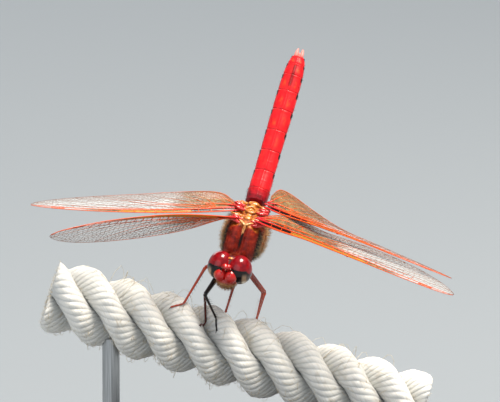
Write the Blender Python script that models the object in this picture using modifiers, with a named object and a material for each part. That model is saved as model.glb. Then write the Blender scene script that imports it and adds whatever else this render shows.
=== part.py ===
"""Life-size display model of a male red meadowhawk dragonfly perched on a rope.

The insect grips a short cut length of three-strand rope, which two rods hold
above a round base.  Sizes are in millimetres until a mesh is made, and angles
are in degrees.  World axes: +X is the insect's left as seen from in front, +Y
runs back from its face, +Z is up.  The origin is the centre of the base's
underside.  An anatomical frame has X to the insect's left, Y to its rear and
Z to its back (dorsal) side.
"""

import math
from dataclasses import dataclass

import bmesh
import bpy
from mathutils import Matrix, Vector

MM = 0.001
TAU = 2.0 * math.pi
GAP = 0.06                      # clearance between two pieces that meet
COLLECTION = "dragonfly"

# Stand
BASE_RADIUS = 30.0
BASE_THICKNESS = 5.0
BASE_EDGE = 0.8                 # rounding of the base's edges
ROD_RADIUS = 1.2
ROD_PLACES = {"left": -17.0, "right": 14.0}     # X of each rod
ROD_DEPTH = 1.6                 # how far a rod runs up into the rope

# Perch: three-strand rope, right-hand lay, sloping down towards +X
ROPE_SLOPE = 17.93
ROPE_HALF_LENGTH = 26.5
ROPE_HEIGHT = 21.0              # of the middle of its axis
ROPE_LAY = 17.7                 # length of one full turn of a strand
STRAND_ORBIT = 2.75             # from the rope's axis to a strand's axis
STRAND_RADIUS = 2.35
GROOVE_RADIUS = 2.6             # from the rope's axis to where two strands meet
STRANDS = 3
CROWN_AT = 1.4                  # along the axis, where a strand crosses the top
CROWN_LEAN = -12.0              # angle of that crossing from straight up

# Insect: where the thorax sits over the rope, and how body regions point
THORAX_OVER_ROPE = (1.89, 0.0, 19.32)
THORAX_POSE = (-15.7, 23.2, 15.5)               # heading, dive, bank
HEAD_POSE = (-16.0, 7.2, 10.3)
ABDOMEN_POSE = (-28.2, 55.5, 24.0)
HEAD_PLACE = (-0.2, -7.6, -4.5)                 # in the thorax frame
ABDOMEN_JOINT = (-0.1, 3.9, -2.1)                # in the thorax frame

# Head, in its own frame
EYE_CENTRE = (1.40, 0.10, 0.45)
EYE_SIZE = (1.68, 1.80, 2.02)                   # half axes
EYE_TILT = 9.0                                  # the tops lean together
HEAD_CORE_CENTRE = (0.0, 0.25, 0.10)
HEAD_CORE_SIZE = (2.20, 1.40, 2.05)

# Abdomen: segment lengths and the half width and height where each one ends
SEGMENT_LENGTHS = (0.9, 1.7, 2.8, 3.0, 3.05, 3.05, 2.9, 2.4, 1.7, 1.2)
ABDOMEN_WIDTHS = (1.35, 1.52, 1.55, 1.44, 1.43, 1.45, 1.47, 1.46, 1.40, 1.22, 0.88)
ABDOMEN_HEIGHTS = (1.30, 1.50, 1.45, 1.05, 0.98, 1.00, 1.02, 1.02, 0.96, 0.80, 0.60)

LEG_RADIUS = 0.27               # of the thinnest leg parts


@dataclass(frozen=True)
class Wing:
    """One wing: its root in the thorax frame, its pose and its outline."""

    side: int                   # +1 on the insect's left, -1 on its right
    root: tuple[float, float, float]
    length: float
    sweep: float                # tip forward of straight out
    rise: float                 # tip above straight out
    pitch: float                # leading edge up, at the root
    washout: float              # leading edge further up at the tip
    bow: float                  # rise of the middle of the span
    edges: tuple[tuple[float, float, float], ...]   # span share, lead, trail


FORE_EDGES = (
    (0.00, 0.45, -0.45), (0.06, 0.75, -1.60), (0.16, 1.35, -3.45), (0.35, 1.95, -4.45),
    (0.55, 2.15, -4.75), (0.75, 1.95, -4.20), (0.90, 1.25, -2.75), (0.97, 0.60, -1.45),
    (1.00, -0.15, -0.55),
)
HIND_EDGES = (
    (0.00, 0.45, -1.50), (0.05, 0.70, -4.60), (0.14, 1.15, -6.75), (0.27, 1.70, -7.10),
    (0.45, 1.95, -6.35), (0.65, 1.85, -5.10), (0.82, 1.35, -3.60), (0.95, 0.60, -1.85),
    (1.00, -0.15, -0.60),
)
WINGS = {
    "wing_fore_left": Wing(1, (1.6, -1.6, 0.46), 29.8, 16.0, 6.2, 22.0, 0.0, 0.5, FORE_EDGES),
    "wing_fore_right": Wing(-1, (1.6, -1.6, -0.2), 29.8, 44.8, 9.8, 47.2, 26.6, 0.35, FORE_EDGES),
    "wing_hind_left": Wing(1, (1.9, 2.28, 0.61), 28.3, 16.2, 5.1, 5.3, 31.6, 0.05, HIND_EDGES),
    "wing_hind_right": Wing(-1, (1.9, 0.9, -0.6), 28.3, 22.9, -1.0, 12.1, 9.4, -0.15, HIND_EDGES),
}
WING_THICKNESS = 0.5
WING_CAMBER = 0.03              # rise of the middle, as a share of the chord
WASHOUT_POWER = 7               # how much of the twist lies near the root


@dataclass(frozen=True)
class Leg:
    """One leg: hip in the thorax frame, feet by place along and round the rope."""

    base: tuple[float, float, float]
    hip: tuple[float, float, float]
    femur: float
    tibia: float
    ankle: tuple[float, float]  # along the rope's axis, degrees from its top
    toe: tuple[float, float]
    swing: float                # turn of the knee about the line hip to ankle
    girth: float                # half thickness of the femur


LEGS = {
    "fore_left": Leg((1.0, -4.9, -4.9), (1.5, -5.2, -6.5), 4.45, 3.7,
                     (-3.0, -12.0), (-3.6, -42.0), 35.0, 0.36),
    "fore_right": Leg((-1.0, -4.9, -4.9), (-1.5, -5.2, -6.5), 4.45, 4.1,
                      (-4.2, 26.0), (-3.6, 46.0), -10.0, 0.42),
    "mid_left": Leg((1.1, -2.2, -5.9), (1.6, -2.6, -7.8), 4.75, 4.05,
                    (1.5, -34.0), (3.1, -46.0), 15.0, 0.36),
    "mid_right": Leg((-1.1, -2.2, -5.9), (-1.6, -2.6, -7.8), 4.85, 4.05,
                     (-5.3, 22.0), (-6.0, 52.0), 92.0, 0.38),
    "hind_left": Leg((0.9, -0.1, -6.2), (0.8, -0.6, -8.6), 6.33, 6.0,
                     (1.5, -50.0), (0.4, -76.0), -49.1, 0.36),
    "hind_right": Leg((-1.2, -0.1, -6.2), (-1.9, -0.3, -7.9), 5.8, 5.6,
                      (-9.0, 28.0), (-10.4, 25.0), -28.0, 0.36),
}
ANKLE_LIFT = 0.62               # ankle and toe centres above the rope
TOE_LIFT = 0.40


# ---------------------------------------------------------------- scene and finish

def clear_scene():
    """Remove every object and leftover mesh of the open file."""
    for item in list(bpy.data.objects):
        bpy.data.objects.remove(item, do_unlink=True)
    for mesh in list(bpy.data.meshes):
        bpy.data.meshes.remove(mesh)


def collection(name):
    """Return the collection of this name, made when missing."""
    found = bpy.data.collections.get(name)
    if found is None:
        found = bpy.data.collections.new(name)
        bpy.context.scene.collection.children.link(found)
    return found


def finish(name, colour, roughness, metallic=0.0):
    """Make a Principled material from a linear colour."""
    material = bpy.data.materials.new(name)
    material.use_nodes = True
    shader = material.node_tree.nodes["Principled BSDF"]
    shader.inputs["Base Color"].default_value = (*colour, 1.0)
    shader.inputs["Roughness"].default_value = roughness
    shader.inputs["Metallic"].default_value = metallic
    return material


def materials():
    """Return the finishes of all sub-parts by name."""
    return {
        "eye": finish("eye", (0.25, 0.006, 0.012), 0.12),
        "face": finish("face", (0.62, 0.03, 0.02), 0.3),
        "scarlet": finish("scarlet", (0.74, 0.012, 0.02), 0.4),
        "crimson": finish("crimson", (0.35, 0.01, 0.015), 0.45),
        "thorax": finish("thorax", (0.18, 0.03, 0.015), 0.6),
        "wing": finish("wing", (0.75, 0.35, 0.15), 0.2),
        "leg": finish("leg", (0.28, 0.05, 0.025), 0.4),
        "rope": finish("rope", (0.83, 0.81, 0.74), 0.85),
        "rod": finish("rod", (0.6, 0.6, 0.6), 0.3, 1.0),
        "base": finish("base", (0.02, 0.02, 0.022), 0.4),
    }


# ------------------------------------------------------------------- small helpers

def pose_matrix(pose, place=(0.0, 0.0, 0.0)):
    """Frame with the given heading, dive and bank (degrees), at place (mm)."""
    heading, dive, bank = (math.radians(angle) for angle in pose)
    turn = (Matrix.Rotation(heading, 4, "Z") @ Matrix.Rotation(dive, 4, "X")
            @ Matrix.Rotation(bank, 4, "Y"))
    return Matrix.Translation(place) @ turn


def blend(stations, share):
    """Smooth value of each column of stations at share of the first column."""
    last = len(stations) - 2
    index = 0
    while index < last and share > stations[index + 1][0]:
        index += 1
    ends = [stations[min(max(index + k, 0), last + 1)] for k in (-1, 0, 1, 2)]
    start, stop = ends[1][0], ends[2][0]
    step = (share - start) / (stop - start)
    values = []
    for column in range(1, len(stations[0])):
        before, low, high, after = (row[column] for row in ends)
        rise_in = (high - before) * (stop - start) / max(stop - ends[0][0], 1e-6)
        rise_out = (after - low) * (stop - start) / max(ends[3][0] - start, 1e-6)
        square, cube = step * step, step ** 3
        values.append((2 * cube - 3 * square + 1) * low + (cube - 2 * square + step) * rise_in
                      + (3 * square - 2 * cube) * high + (cube - square) * rise_out)
    return values


def new_object(name, mesh, material, group=COLLECTION):
    """Put a mesh in the scene under a name with one material."""
    item = bpy.data.objects.new(name, mesh)
    collection(group).objects.link(item)
    if material is not None:
        mesh.materials.clear()
        mesh.materials.append(material)
    mesh.shade_smooth()
    mesh.set_sharp_from_angle(angle=math.radians(40.0))
    return item


def loft(name, rings, material, group=COLLECTION):
    """Skin a run of equal-count rings of points (mm) and close both ends."""
    shape = bmesh.new()
    rows = [[shape.verts.new(Vector(point) * MM) for point in ring] for ring in rings]
    count = len(rows[0])
    for low, high in zip(rows, rows[1:]):
        for k in range(count):
            after = (k + 1) % count
            shape.faces.new((low[k], low[after], high[after], high[k]))
    shape.faces.new(reversed(rows[0]))
    shape.faces.new(rows[-1])
    bmesh.ops.recalc_face_normals(shape, faces=shape.faces)
    mesh = bpy.data.meshes.new(name)
    shape.to_mesh(mesh)
    shape.free()
    return new_object(name, mesh, material, group)


def section(frame, back, half_width, up, down, lift=0.0, count=16, squareness=2.0):
    """Ring across a frame at a distance back: an egg with its own up and down."""
    ring = []
    power = 2.0 / squareness
    for k in range(count):
        angle = TAU * k / count
        side, rise = math.sin(angle), math.cos(angle)
        x = half_width * math.copysign(abs(side) ** power, side)
        z = (up if rise > 0 else down) * math.copysign(abs(rise) ** power, rise)
        ring.append(frame @ Vector((x, back, lift + z)))
    return ring


def ellipsoid(name, frame, centre, size, material, tilt=0.0, grow=0.0, segments=24,
              group=COLLECTION):
    """Ellipsoid of half axes size (mm) at centre of a frame, leaning about Y."""
    rings = segments // 2
    bpy.ops.mesh.primitive_uv_sphere_add(segments=segments, ring_count=rings, radius=1.0)
    item = bpy.context.object
    mesh = item.data
    bpy.context.collection.objects.unlink(item)
    bpy.data.objects.remove(item)
    stretch = Matrix.Diagonal([(half + grow) * MM for half in size] + [1.0])
    lean = Matrix.Rotation(math.radians(tilt), 4, "Y")
    spin = Matrix.Rotation(1.7 * segments, 4, "Z")      # keeps facets off each other's planes
    place = Matrix.Translation(frame.translation * MM) @ frame.to_3x3().to_4x4()
    mesh.transform(place @ Matrix.Translation(Vector(centre) * MM) @ lean @ stretch
                   @ spin)
    mesh.name = name
    return new_object(name, mesh, material, group)


def tube(name, points, radii, material, group=COLLECTION, sides=2):
    """Round bar through points (mm) with a half thickness at each of them."""
    curve = bpy.data.curves.new(name, "CURVE")
    curve.dimensions = "3D"
    curve.bevel_depth = MM
    curve.bevel_resolution = sides
    curve.use_fill_caps = True
    spline = curve.splines.new("POLY")
    spline.points.add(len(points) - 1)
    for target, point, radius in zip(spline.points, points, radii):
        target.co = (*(Vector(point) * MM), 1.0)
        target.radius = radius
    source = bpy.data.objects.new(name + "_path", curve)
    collection(group).objects.link(source)
    seen = source.evaluated_get(bpy.context.evaluated_depsgraph_get())
    mesh = bpy.data.meshes.new_from_object(seen)
    bpy.data.objects.remove(source)
    shape = bmesh.new()
    shape.from_mesh(mesh)
    bmesh.ops.remove_doubles(shape, verts=shape.verts, dist=1e-6)
    bmesh.ops.recalc_face_normals(shape, faces=shape.faces)
    shape.to_mesh(mesh)
    shape.free()
    mesh.name = name
    return new_object(name, mesh, material, group)


def as_cutter(item):
    """Hide an object that only cuts others."""
    item.display_type = "WIRE"
    item.hide_render = True
    return item


def cut(item, cutter, operation="DIFFERENCE"):
    """Add an exact Boolean of item with cutter."""
    boolean = item.modifiers.new(cutter.name, "BOOLEAN")
    boolean.operation = operation
    boolean.solver = "EXACT"
    boolean.object = cutter


# --------------------------------------------------------------------------- stand

def build_base(finishes):
    """Round base with softened edges."""
    bpy.ops.mesh.primitive_cylinder_add(
        vertices=48, radius=BASE_RADIUS * MM, depth=BASE_THICKNESS * MM,
        location=(0.0, 0.0, BASE_THICKNESS * MM / 2))
    base = bpy.context.object
    base.name = "stand_base"
    base.data.materials.append(finishes["base"])
    bpy.context.collection.objects.unlink(base)
    collection(COLLECTION).objects.link(base)
    bevel = base.modifiers.new("edge", "BEVEL")
    bevel.width = BASE_EDGE * MM
    bevel.segments = 2
    bevel.limit_method = "ANGLE"
    base.data.shade_smooth()
    base.data.set_sharp_from_angle(angle=math.radians(30.0))


def rod(name, x, grow, material, group=COLLECTION):
    """Upright rod from the base up into the rope's underside."""
    slope = math.radians(ROPE_SLOPE)
    underside = ROPE_HEIGHT - x * math.tan(slope) - STRAND_ORBIT - STRAND_RADIUS
    foot = BASE_THICKNESS + GAP - grow
    top = underside + ROD_DEPTH + grow
    bpy.ops.mesh.primitive_cylinder_add(
        vertices=24, radius=(ROD_RADIUS + grow) * MM, depth=(top - foot) * MM,
        location=(x * MM, 0.0, (top + foot) / 2 * MM))
    item = bpy.context.object
    item.name = name
    bpy.context.collection.objects.unlink(item)
    collection(group).objects.link(item)
    if material is not None:
        item.data.materials.append(material)
    item.data.shade_smooth()
    item.data.set_sharp_from_angle(angle=math.radians(30.0))
    return item


# --------------------------------------------------------------------------- perch

def rope_frame():
    """Frame on the rope's axis: X along it, Y to the rear, Z up and across."""
    return (Matrix.Translation((0.0, 0.0, ROPE_HEIGHT))
            @ Matrix.Rotation(math.radians(ROPE_SLOPE), 4, "Y"))


def rope_radius(along, angle):
    """Distance from the axis to the surface at an angle (radians) from the top."""
    crown = math.radians(CROWN_LEAN) + TAU * (along - CROWN_AT) / ROPE_LAY
    share = TAU / STRANDS
    off = (angle - crown + share / 2) % share - share / 2
    across = STRAND_ORBIT * math.sin(off)
    bulge = math.sqrt(max(STRAND_RADIUS ** 2 - across ** 2, 0.0))
    return max(STRAND_ORBIT * math.cos(off) + bulge, GROOVE_RADIUS)


def rope_point(along, angle, lift=0.0):
    """Point at a lift over the rope's surface; angles run towards the front."""
    reach = rope_radius(along, angle) + lift
    return rope_frame() @ Vector((along, -reach * math.sin(angle), reach * math.cos(angle)))


def build_rope(finishes):
    """Cut length of rope as one solid: three round lobes twisted along the axis."""
    per_strand, rings_per_turn = 6, 16
    points = STRANDS * per_strand
    steps = round(2 * ROPE_HALF_LENGTH / ROPE_LAY * rings_per_turn)
    rings = []
    for step in range(steps + 1):
        along = ROPE_HALF_LENGTH * (2 * step / steps - 1)
        crown = math.radians(CROWN_LEAN) + TAU * (along - CROWN_AT) / ROPE_LAY
        rings.append([rope_point(along, crown + TAU * k / points)
                      for k in range(points)])
    rope = loft("perch_rope", rings, finishes["rope"])
    for side, x in ROD_PLACES.items():
        bore = as_cutter(rod("bore_" + side, x, GAP, None, "cutters"))
        cut(rope, bore)


# -------------------------------------------------------------------------- thorax

THORAX_SECTIONS = (             # back, top, bottom, half width, squareness
    (-5.25, -3.75, -4.95, 0.95, 2.0),
    (-4.80, -2.85, -5.65, 1.75, 2.2),
    (-3.90, -1.45, -6.05, 2.45, 2.3),
    (-2.70, 0.10, -6.45, 2.85, 2.3),
    (-1.60, 0.30, -6.75, 3.00, 2.3),
    (0.00, 0.25, -6.90, 3.05, 2.3),
    (1.60, 0.15, -6.30, 2.95, 2.3),
    (2.90, -0.30, -5.30, 2.45, 2.2),
    (3.70, -0.90, -4.30, 1.75, 2.0),
)
COLLAR_SECTIONS = (             # back, radius, height of the centre
    (-6.25, 0.60, -4.45), (-6.05, 1.05, -4.45), (-5.45, 1.35, -4.40), (-4.60, 1.30, -4.30),
)


def thorax_frame():
    """Anatomical frame on the back between the wing bases."""
    place = Vector(THORAX_OVER_ROPE) + Vector((0.0, 0.0, ROPE_HEIGHT))
    return pose_matrix(THORAX_POSE, place)


def thorax_rings(grow=0.0):
    """Sections of the winged part of the thorax, grown outwards if asked."""
    rings = []
    last = len(THORAX_SECTIONS) - 1
    for index, (back, top, bottom, width, square) in enumerate(THORAX_SECTIONS):
        middle, half = (top + bottom) / 2, (top - bottom) / 2
        shift = grow * (-1 if index == 0 else (1 if index == last else 0))
        rings.append(section(thorax_frame(), back + shift, width + grow, half + grow,
                             half + grow, middle, 20, square))
    return rings


def build_thorax(finishes):
    """Winged thorax, and the small collar of the prothorax in front of it."""
    loft("thorax", thorax_rings(), finishes["thorax"])
    grown = as_cutter(loft("grown_thorax", thorax_rings(GAP), None, "cutters"))
    frame = thorax_frame()
    collar, grown_collar = (
        loft(name, [section(frame, back, half + grow, half + grow, half + grow, lift, 14)
                    for back, half, lift in COLLAR_SECTIONS], colour, group)
        for name, grow, colour, group in (
            ("prothorax", 0.0, finishes["thorax"], COLLECTION),
            ("grown_prothorax", GAP, None, "cutters")))
    cut(collar, grown)
    return grown, collar, as_cutter(grown_collar)


# ---------------------------------------------------------------------------- head

def head_frame():
    """Anatomical frame at the centre of the head."""
    return pose_matrix(HEAD_POSE, thorax_frame() @ Vector(HEAD_PLACE))


def face_pieces(frame, grow, group, finishes=None):
    """Frons with its two lobes, face plate and labium, in front of the eyes."""
    colour = finishes["face"] if finishes else None
    suffix = "" if finishes else "_grown"
    frons = ellipsoid("frons" + suffix, frame, (0.0, -1.25, -0.15), (1.45, 0.85, 0.92),
                      colour, 0.0, grow, 18, group)
    face = ellipsoid("face" + suffix, frame, (0.0, -0.95, -1.25), (1.42, 1.00, 0.85),
                     colour, 0.0, grow, 18, group)
    labium = ellipsoid("labium" + suffix, frame, (0.0, -0.15, -1.72), (1.30, 1.25, 0.80),
                       colour, 0.0, grow, 16, group)
    return frons, face, labium


def build_head(finishes, collar):
    """Head capsule, two eyes, frons, face, labium and antennae."""
    frame = head_frame()
    frons, face, labium = face_pieces(frame, 0.0, COLLECTION, finishes)
    cut_frons, cut_face, cut_labium = (
        as_cutter(piece) for piece in face_pieces(frame, GAP, "cutters"))
    cut(face, cut_frons)
    cut(labium, cut_face)
    cut(labium, cut_frons)
    core = ellipsoid("head", frame, HEAD_CORE_CENTRE, HEAD_CORE_SIZE, finishes["face"],
                     segments=18)
    for cutter in (cut_frons, cut_face, cut_labium):
        cut(core, cutter)
    for side, name in ((1, "left"), (-1, "right")):
        centre = (side * EYE_CENTRE[0], EYE_CENTRE[1], EYE_CENTRE[2])
        tilt = -side * EYE_TILT
        eye = ellipsoid("eye_" + name, frame, centre, EYE_SIZE, finishes["eye"], tilt,
                        segments=20)
        for cutter in (cut_frons, cut_face, cut_labium):
            cut(eye, cutter)
        bpy.ops.mesh.primitive_cube_add(size=1.0)
        half = bpy.context.object
        half.name = "half_space_" + name
        bpy.context.collection.objects.unlink(half)
        collection("cutters").objects.link(half)
        reach = 10.0
        place = (Matrix.Translation(frame.translation * MM) @ frame.to_3x3().to_4x4()
                 @ Matrix.Translation((side * (reach / 2 + GAP / 2) * MM, 0.0, 0.0)))
        half.data.transform(place @ Matrix.Scale(reach * MM, 4))
        cut(eye, as_cutter(half), "INTERSECT")
        grown = as_cutter(ellipsoid("grown_eye_" + name, frame, centre, EYE_SIZE, None,
                                    tilt, GAP, 20, "cutters"))
        cut(core, grown)
        cut(collar, grown)
        antenna = tube("antenna_" + name,
                       [frame @ Vector((side * x, y, z)) for x, y, z in (
                           (0.62, -2.10, 0.62), (0.75, -2.55, 0.95), (1.05, -3.25, 1.55))],
                       (0.27, 0.25, 0.25), finishes["leg"])
        cut(antenna, cut_frons)
        cut(antenna, grown)
    grown_core = ellipsoid("grown_head", frame, HEAD_CORE_CENTRE, HEAD_CORE_SIZE, None, 0.0,
                           GAP, 18, "cutters")
    cut(collar, as_cutter(grown_core))


# ------------------------------------------------------------------------- abdomen

def abdomen_frame():
    """Anatomical frame at the front of the abdomen."""
    return pose_matrix(ABDOMEN_POSE, thorax_frame() @ Vector(ABDOMEN_JOINT))


def abdomen_ring(index, back, shrink=0.0):
    """Section at the end of a segment: a roofed back over a flatter belly."""
    width, height = ABDOMEN_WIDTHS[index] - shrink, ABDOMEN_HEIGHTS[index] - shrink
    if index == 0:
        frame = pose_matrix(THORAX_POSE, thorax_frame() @ Vector(ABDOMEN_JOINT))
        return section(frame, back, width, height, height, 0.0)
    return section(abdomen_frame(), back, width, height, height * 0.85, 0.0)


def build_abdomen(finishes, grown_thorax):
    """Ten segments in a row, then the two cerci and the plate between them."""
    back = 0.0
    for index, length in enumerate(SEGMENT_LENGTHS):
        start = back + (GAP / 2 if index else 0.0)
        stop = back + length - GAP / 2
        rings = [abdomen_ring(index, start, 0.05)]
        if index:
            rings.append(abdomen_ring(index, start + 0.12 * length))
        rings.append(abdomen_ring(index + 1, stop))
        colour = finishes["crimson" if index < 2 else "scarlet"]
        piece = loft(f"abdomen_{index + 1:02d}", rings, colour)
        if index < 2:
            cut(piece, grown_thorax)
        back += length
    frame = abdomen_frame()
    for side, name in ((1, "left"), (-1, "right")):
        points = [frame @ Vector((side * x, back + y, z)) for x, y, z in (
            (0.33, GAP, 0.10), (0.42, 0.45, 0.16), (0.40, 0.90, 0.10), (0.33, 1.30, -0.02))]
        tube("cercus_" + name, points, (0.26, 0.28, 0.26, 0.15), finishes["scarlet"])
    points = [frame @ Vector((0.0, back + y, z)) for y, z in ((GAP, -0.34), (0.8, -0.42))]
    tube("epiproct", points, (0.22, 0.18), finishes["scarlet"])


# --------------------------------------------------------------------------- wings

def wing_frame(wing):
    """Matrix of a wing's root: X out to its tip, Y back along its chord."""
    sweep, rise, pitch = (math.radians(a) for a in (wing.sweep, wing.rise, wing.pitch))
    span = Vector((wing.side * math.cos(rise) * math.cos(sweep),
                   -math.cos(rise) * math.sin(sweep), math.sin(rise)))
    back = Vector((0.0, 1.0, 0.0))
    back = (back - span * back.dot(span)).normalized()
    up = Vector((0.0, 0.0, 1.0))
    up = (up - span * up.dot(span) - back * up.dot(back)).normalized()
    chord = back * math.cos(pitch) - up * math.sin(pitch)
    normal = back * math.sin(pitch) + up * math.cos(pitch)
    local = Matrix((span, chord, normal)).transposed().to_4x4()
    root = Vector((wing.side * wing.root[0], wing.root[1], wing.root[2]))
    return thorax_frame() @ Matrix.Translation(root) @ local


def build_wing(name, wing, finishes, grown_thorax):
    """Thin twisted blade following the wing's outline."""
    frame = wing_frame(wing)
    stations, across = 18, 5
    rings = []
    for step in range(stations + 1):
        share = step / stations
        lead, trail = blend(wing.edges, share)
        turn = math.radians(wing.washout) * (1.0 - (1.0 - share) ** WASHOUT_POWER)
        twist = Matrix.Rotation(-turn, 4, "X")
        lift = 4.0 * wing.bow * share * (1.0 - share)
        top, bottom = [], []
        for k in range(across):
            part = k / (across - 1)
            along = -lead + (lead - trail) * part
            bow = WING_CAMBER * (lead - trail) * math.sin(math.pi * part)
            for side, row in ((0.5, top), (-0.5, bottom)):
                point = twist @ Vector((0.0, along, bow + side * WING_THICKNESS))
                row.append(frame @ Vector((share * wing.length, point.y, point.z + lift)))
        rings.append(top + bottom[::-1])
    blade = loft(name, rings, finishes["wing"])
    cut(blade, grown_thorax)
    return blade


# ---------------------------------------------------------------------------- legs

def knee_point(hip, ankle, femur, tibia, swing):
    """Knee of two bars between hip and ankle, swung about the line through both."""
    line = ankle - hip
    reach = line.length
    line = line.normalized()
    along = (femur ** 2 - tibia ** 2 + reach ** 2) / (2 * reach)
    rise = math.sqrt(max(femur ** 2 - along ** 2, 0.0))
    up = Vector((0.0, 0.0, 1.0))
    up = (up - line * up.dot(line)).normalized()
    side = line.cross(up)
    angle = math.radians(swing)
    return hip + line * along + (up * math.cos(angle) + side * math.sin(angle)) * rise


def joint_start(corner, before, after, thick_before, thick_after):
    """Where the next bar starts past a corner, clear of the bar before it."""
    inward, outward = (before - corner).normalized(), (after - corner).normalized()
    angle = inward.angle(outward)
    past_side = (thick_before + GAP + thick_after * math.cos(angle)) / math.sin(angle)
    turn = math.pi - angle
    past_end = (GAP + thick_after * math.sin(turn)) / max(math.cos(turn), 1e-3)
    choices = [far for far in (past_side, past_end) if far > 0]
    return corner + outward * min(choices)


def build_leg(name, leg, finishes, cutters):
    """Femur with its hip, tibia and tarsus of one leg."""
    frame = thorax_frame()
    base, hip = frame @ Vector(leg.base), frame @ Vector(leg.hip)
    ankle_at, toe_at = leg.ankle, leg.toe
    ankle = rope_point(ankle_at[0], math.radians(ankle_at[1]), ANKLE_LIFT)
    knee = knee_point(hip, ankle, leg.femur, leg.tibia, leg.swing)
    femur = tube(f"{name}_femur", (base, hip, hip.lerp(knee, 0.5), knee),
                 (0.55, 0.40, leg.girth, 0.32), finishes["leg"])
    for cutter in cutters:
        cut(femur, cutter)
    start = joint_start(knee, hip, ankle, 0.36, LEG_RADIUS)
    tube(f"{name}_tibia", (start, ankle), (LEG_RADIUS, LEG_RADIUS), finishes["leg"])
    foot = []
    for k in range(4):
        part = k / 3
        along = ankle_at[0] + (toe_at[0] - ankle_at[0]) * part
        angle = ankle_at[1] + (toe_at[1] - ankle_at[1]) * part
        lift = ANKLE_LIFT + (TOE_LIFT - ANKLE_LIFT) * min(1.0, 2 * part)
        foot.append(rope_point(along, math.radians(angle), lift))
    foot[0] = joint_start(ankle, knee, foot[1], LEG_RADIUS, 0.25)
    tube(f"{name}_tarsus", foot, [0.25] * 4, finishes["leg"])


# ---------------------------------------------------------------------------- main

def main():
    """Build the stand, the perch and the insect."""
    clear_scene()
    finishes = materials()
    build_base(finishes)
    for side, x in ROD_PLACES.items():
        rod("stand_rod_" + side, x, 0.0, finishes["rod"])
    build_rope(finishes)
    grown_thorax, collar, grown_collar = build_thorax(finishes)
    build_head(finishes, collar)
    build_abdomen(finishes, grown_thorax)
    for name, wing in WINGS.items():
        build_wing(name, wing, finishes, grown_thorax)
    for name, leg in LEGS.items():
        cutters = (grown_thorax, grown_collar) if name.startswith("fore") else (grown_thorax,)
        build_leg("leg_" + name, leg, finishes, cutters)


main()
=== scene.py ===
"""Looks of a life-size display model: a male red meadowhawk dragonfly on a rope.

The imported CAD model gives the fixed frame.  This script keeps its stand, and puts
detailed pieces in the place of the insect's and the rope's plain solids.  Sizes
are in millimetres until a mesh is made, and angles are in degrees.  World axes:
+X is the insect's left as seen from in front, +Y runs back from its face, +Z is
up.  An anatomical frame has X to the insect's left, Y to its rear and Z to its
back (dorsal) side.
"""

import logging
import math
from dataclasses import dataclass
from enum import Enum
from functools import cached_property
from typing import Any, Callable, Iterator, Sequence

import bpy
import numpy as np
from mathutils import Matrix, Vector
from mathutils.geometry import delaunay_2d_cdt


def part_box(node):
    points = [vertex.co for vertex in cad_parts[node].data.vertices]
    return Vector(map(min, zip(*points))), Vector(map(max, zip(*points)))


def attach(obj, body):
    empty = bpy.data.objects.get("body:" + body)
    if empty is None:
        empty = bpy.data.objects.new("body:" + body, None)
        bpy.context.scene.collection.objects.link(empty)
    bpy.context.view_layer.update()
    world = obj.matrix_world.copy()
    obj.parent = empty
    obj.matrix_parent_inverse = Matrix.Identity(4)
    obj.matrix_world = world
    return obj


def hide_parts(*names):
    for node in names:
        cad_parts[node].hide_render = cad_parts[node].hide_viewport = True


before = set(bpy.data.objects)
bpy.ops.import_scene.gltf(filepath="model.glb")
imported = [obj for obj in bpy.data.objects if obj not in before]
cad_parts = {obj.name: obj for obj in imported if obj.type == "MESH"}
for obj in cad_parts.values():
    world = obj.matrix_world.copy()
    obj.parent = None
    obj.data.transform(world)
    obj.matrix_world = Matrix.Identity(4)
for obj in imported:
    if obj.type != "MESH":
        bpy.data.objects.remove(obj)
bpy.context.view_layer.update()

LOG = logging.getLogger("dragonfly")
MM = 0.001
TAU = 2.0 * math.pi
BODY = "root"
BAKE_MAP = "OFBake"
PATCH = 0.003                   # width of one tuft's place on the bake map
SEAM_SLANT = 0.36               # how far the flank's seams run back for each unit up

Array = np.ndarray
Stations = Sequence[Sequence[float]]
Stops = Sequence[tuple[float, str]]
Shape = Callable[[Array], Array]


class Side(Enum):
    """The two sides of the insect, and the sign of X on each."""

    LEFT = 1
    RIGHT = -1

    @property
    def word(self) -> str:
        """Name of the side as the CAD nodes spell it."""
        return self.name.lower()


# -------- maths helpers

def blend(stations: Stations, shares: Array) -> Array:
    """Read the columns of a station list on smooth curves.

    Args:
        stations: rows of a place followed by the values there.
        shares: places to read at.

    Returns:
        One row of values for each place.
    """
    places, values = np.split(np.array(stations, float), [1], axis=1)
    reach, rise = (np.vstack([table[1:], table[-1:]]) - np.vstack([table[:1], table[:-1]])
                   for table in (places, values))
    fine = np.linspace(stations[0][0], stations[-1][0], 241)
    low = np.clip(np.searchsorted(places[:, 0], fine) - 1, 0, len(places) - 2)
    gap = places[low + 1] - places[low]
    step = (fine[:, None] - places[low]) / gap
    square, cube = step * step, step ** 3
    rows = ((2 * cube - 3 * square + 1) * values[low]
            + (cube - 2 * square + step) * (rise[low] * gap / reach[low])
            + (3 * square - 2 * cube) * values[low + 1]
            + (cube - square) * (rise[low + 1] * gap / reach[low + 1]))
    return np.stack([np.interp(shares, fine, column) for column in rows.T], -1)


def ease(value: Array, low: float, high: float) -> Array:
    """Smooth step of a value from 0 at low to 1 at high."""
    share = np.clip((np.asarray(value, float) - low) / (high - low), 0.0, 1.0)
    return share * share * (3.0 - 2.0 * share)


def hump(value: Array, middle: float, width: float) -> Array:
    """Bell of height 1 at the middle, which falls to 0.37 at the width."""
    return np.exp(-(((np.asarray(value, float) - middle) / width) ** 2))


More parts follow.
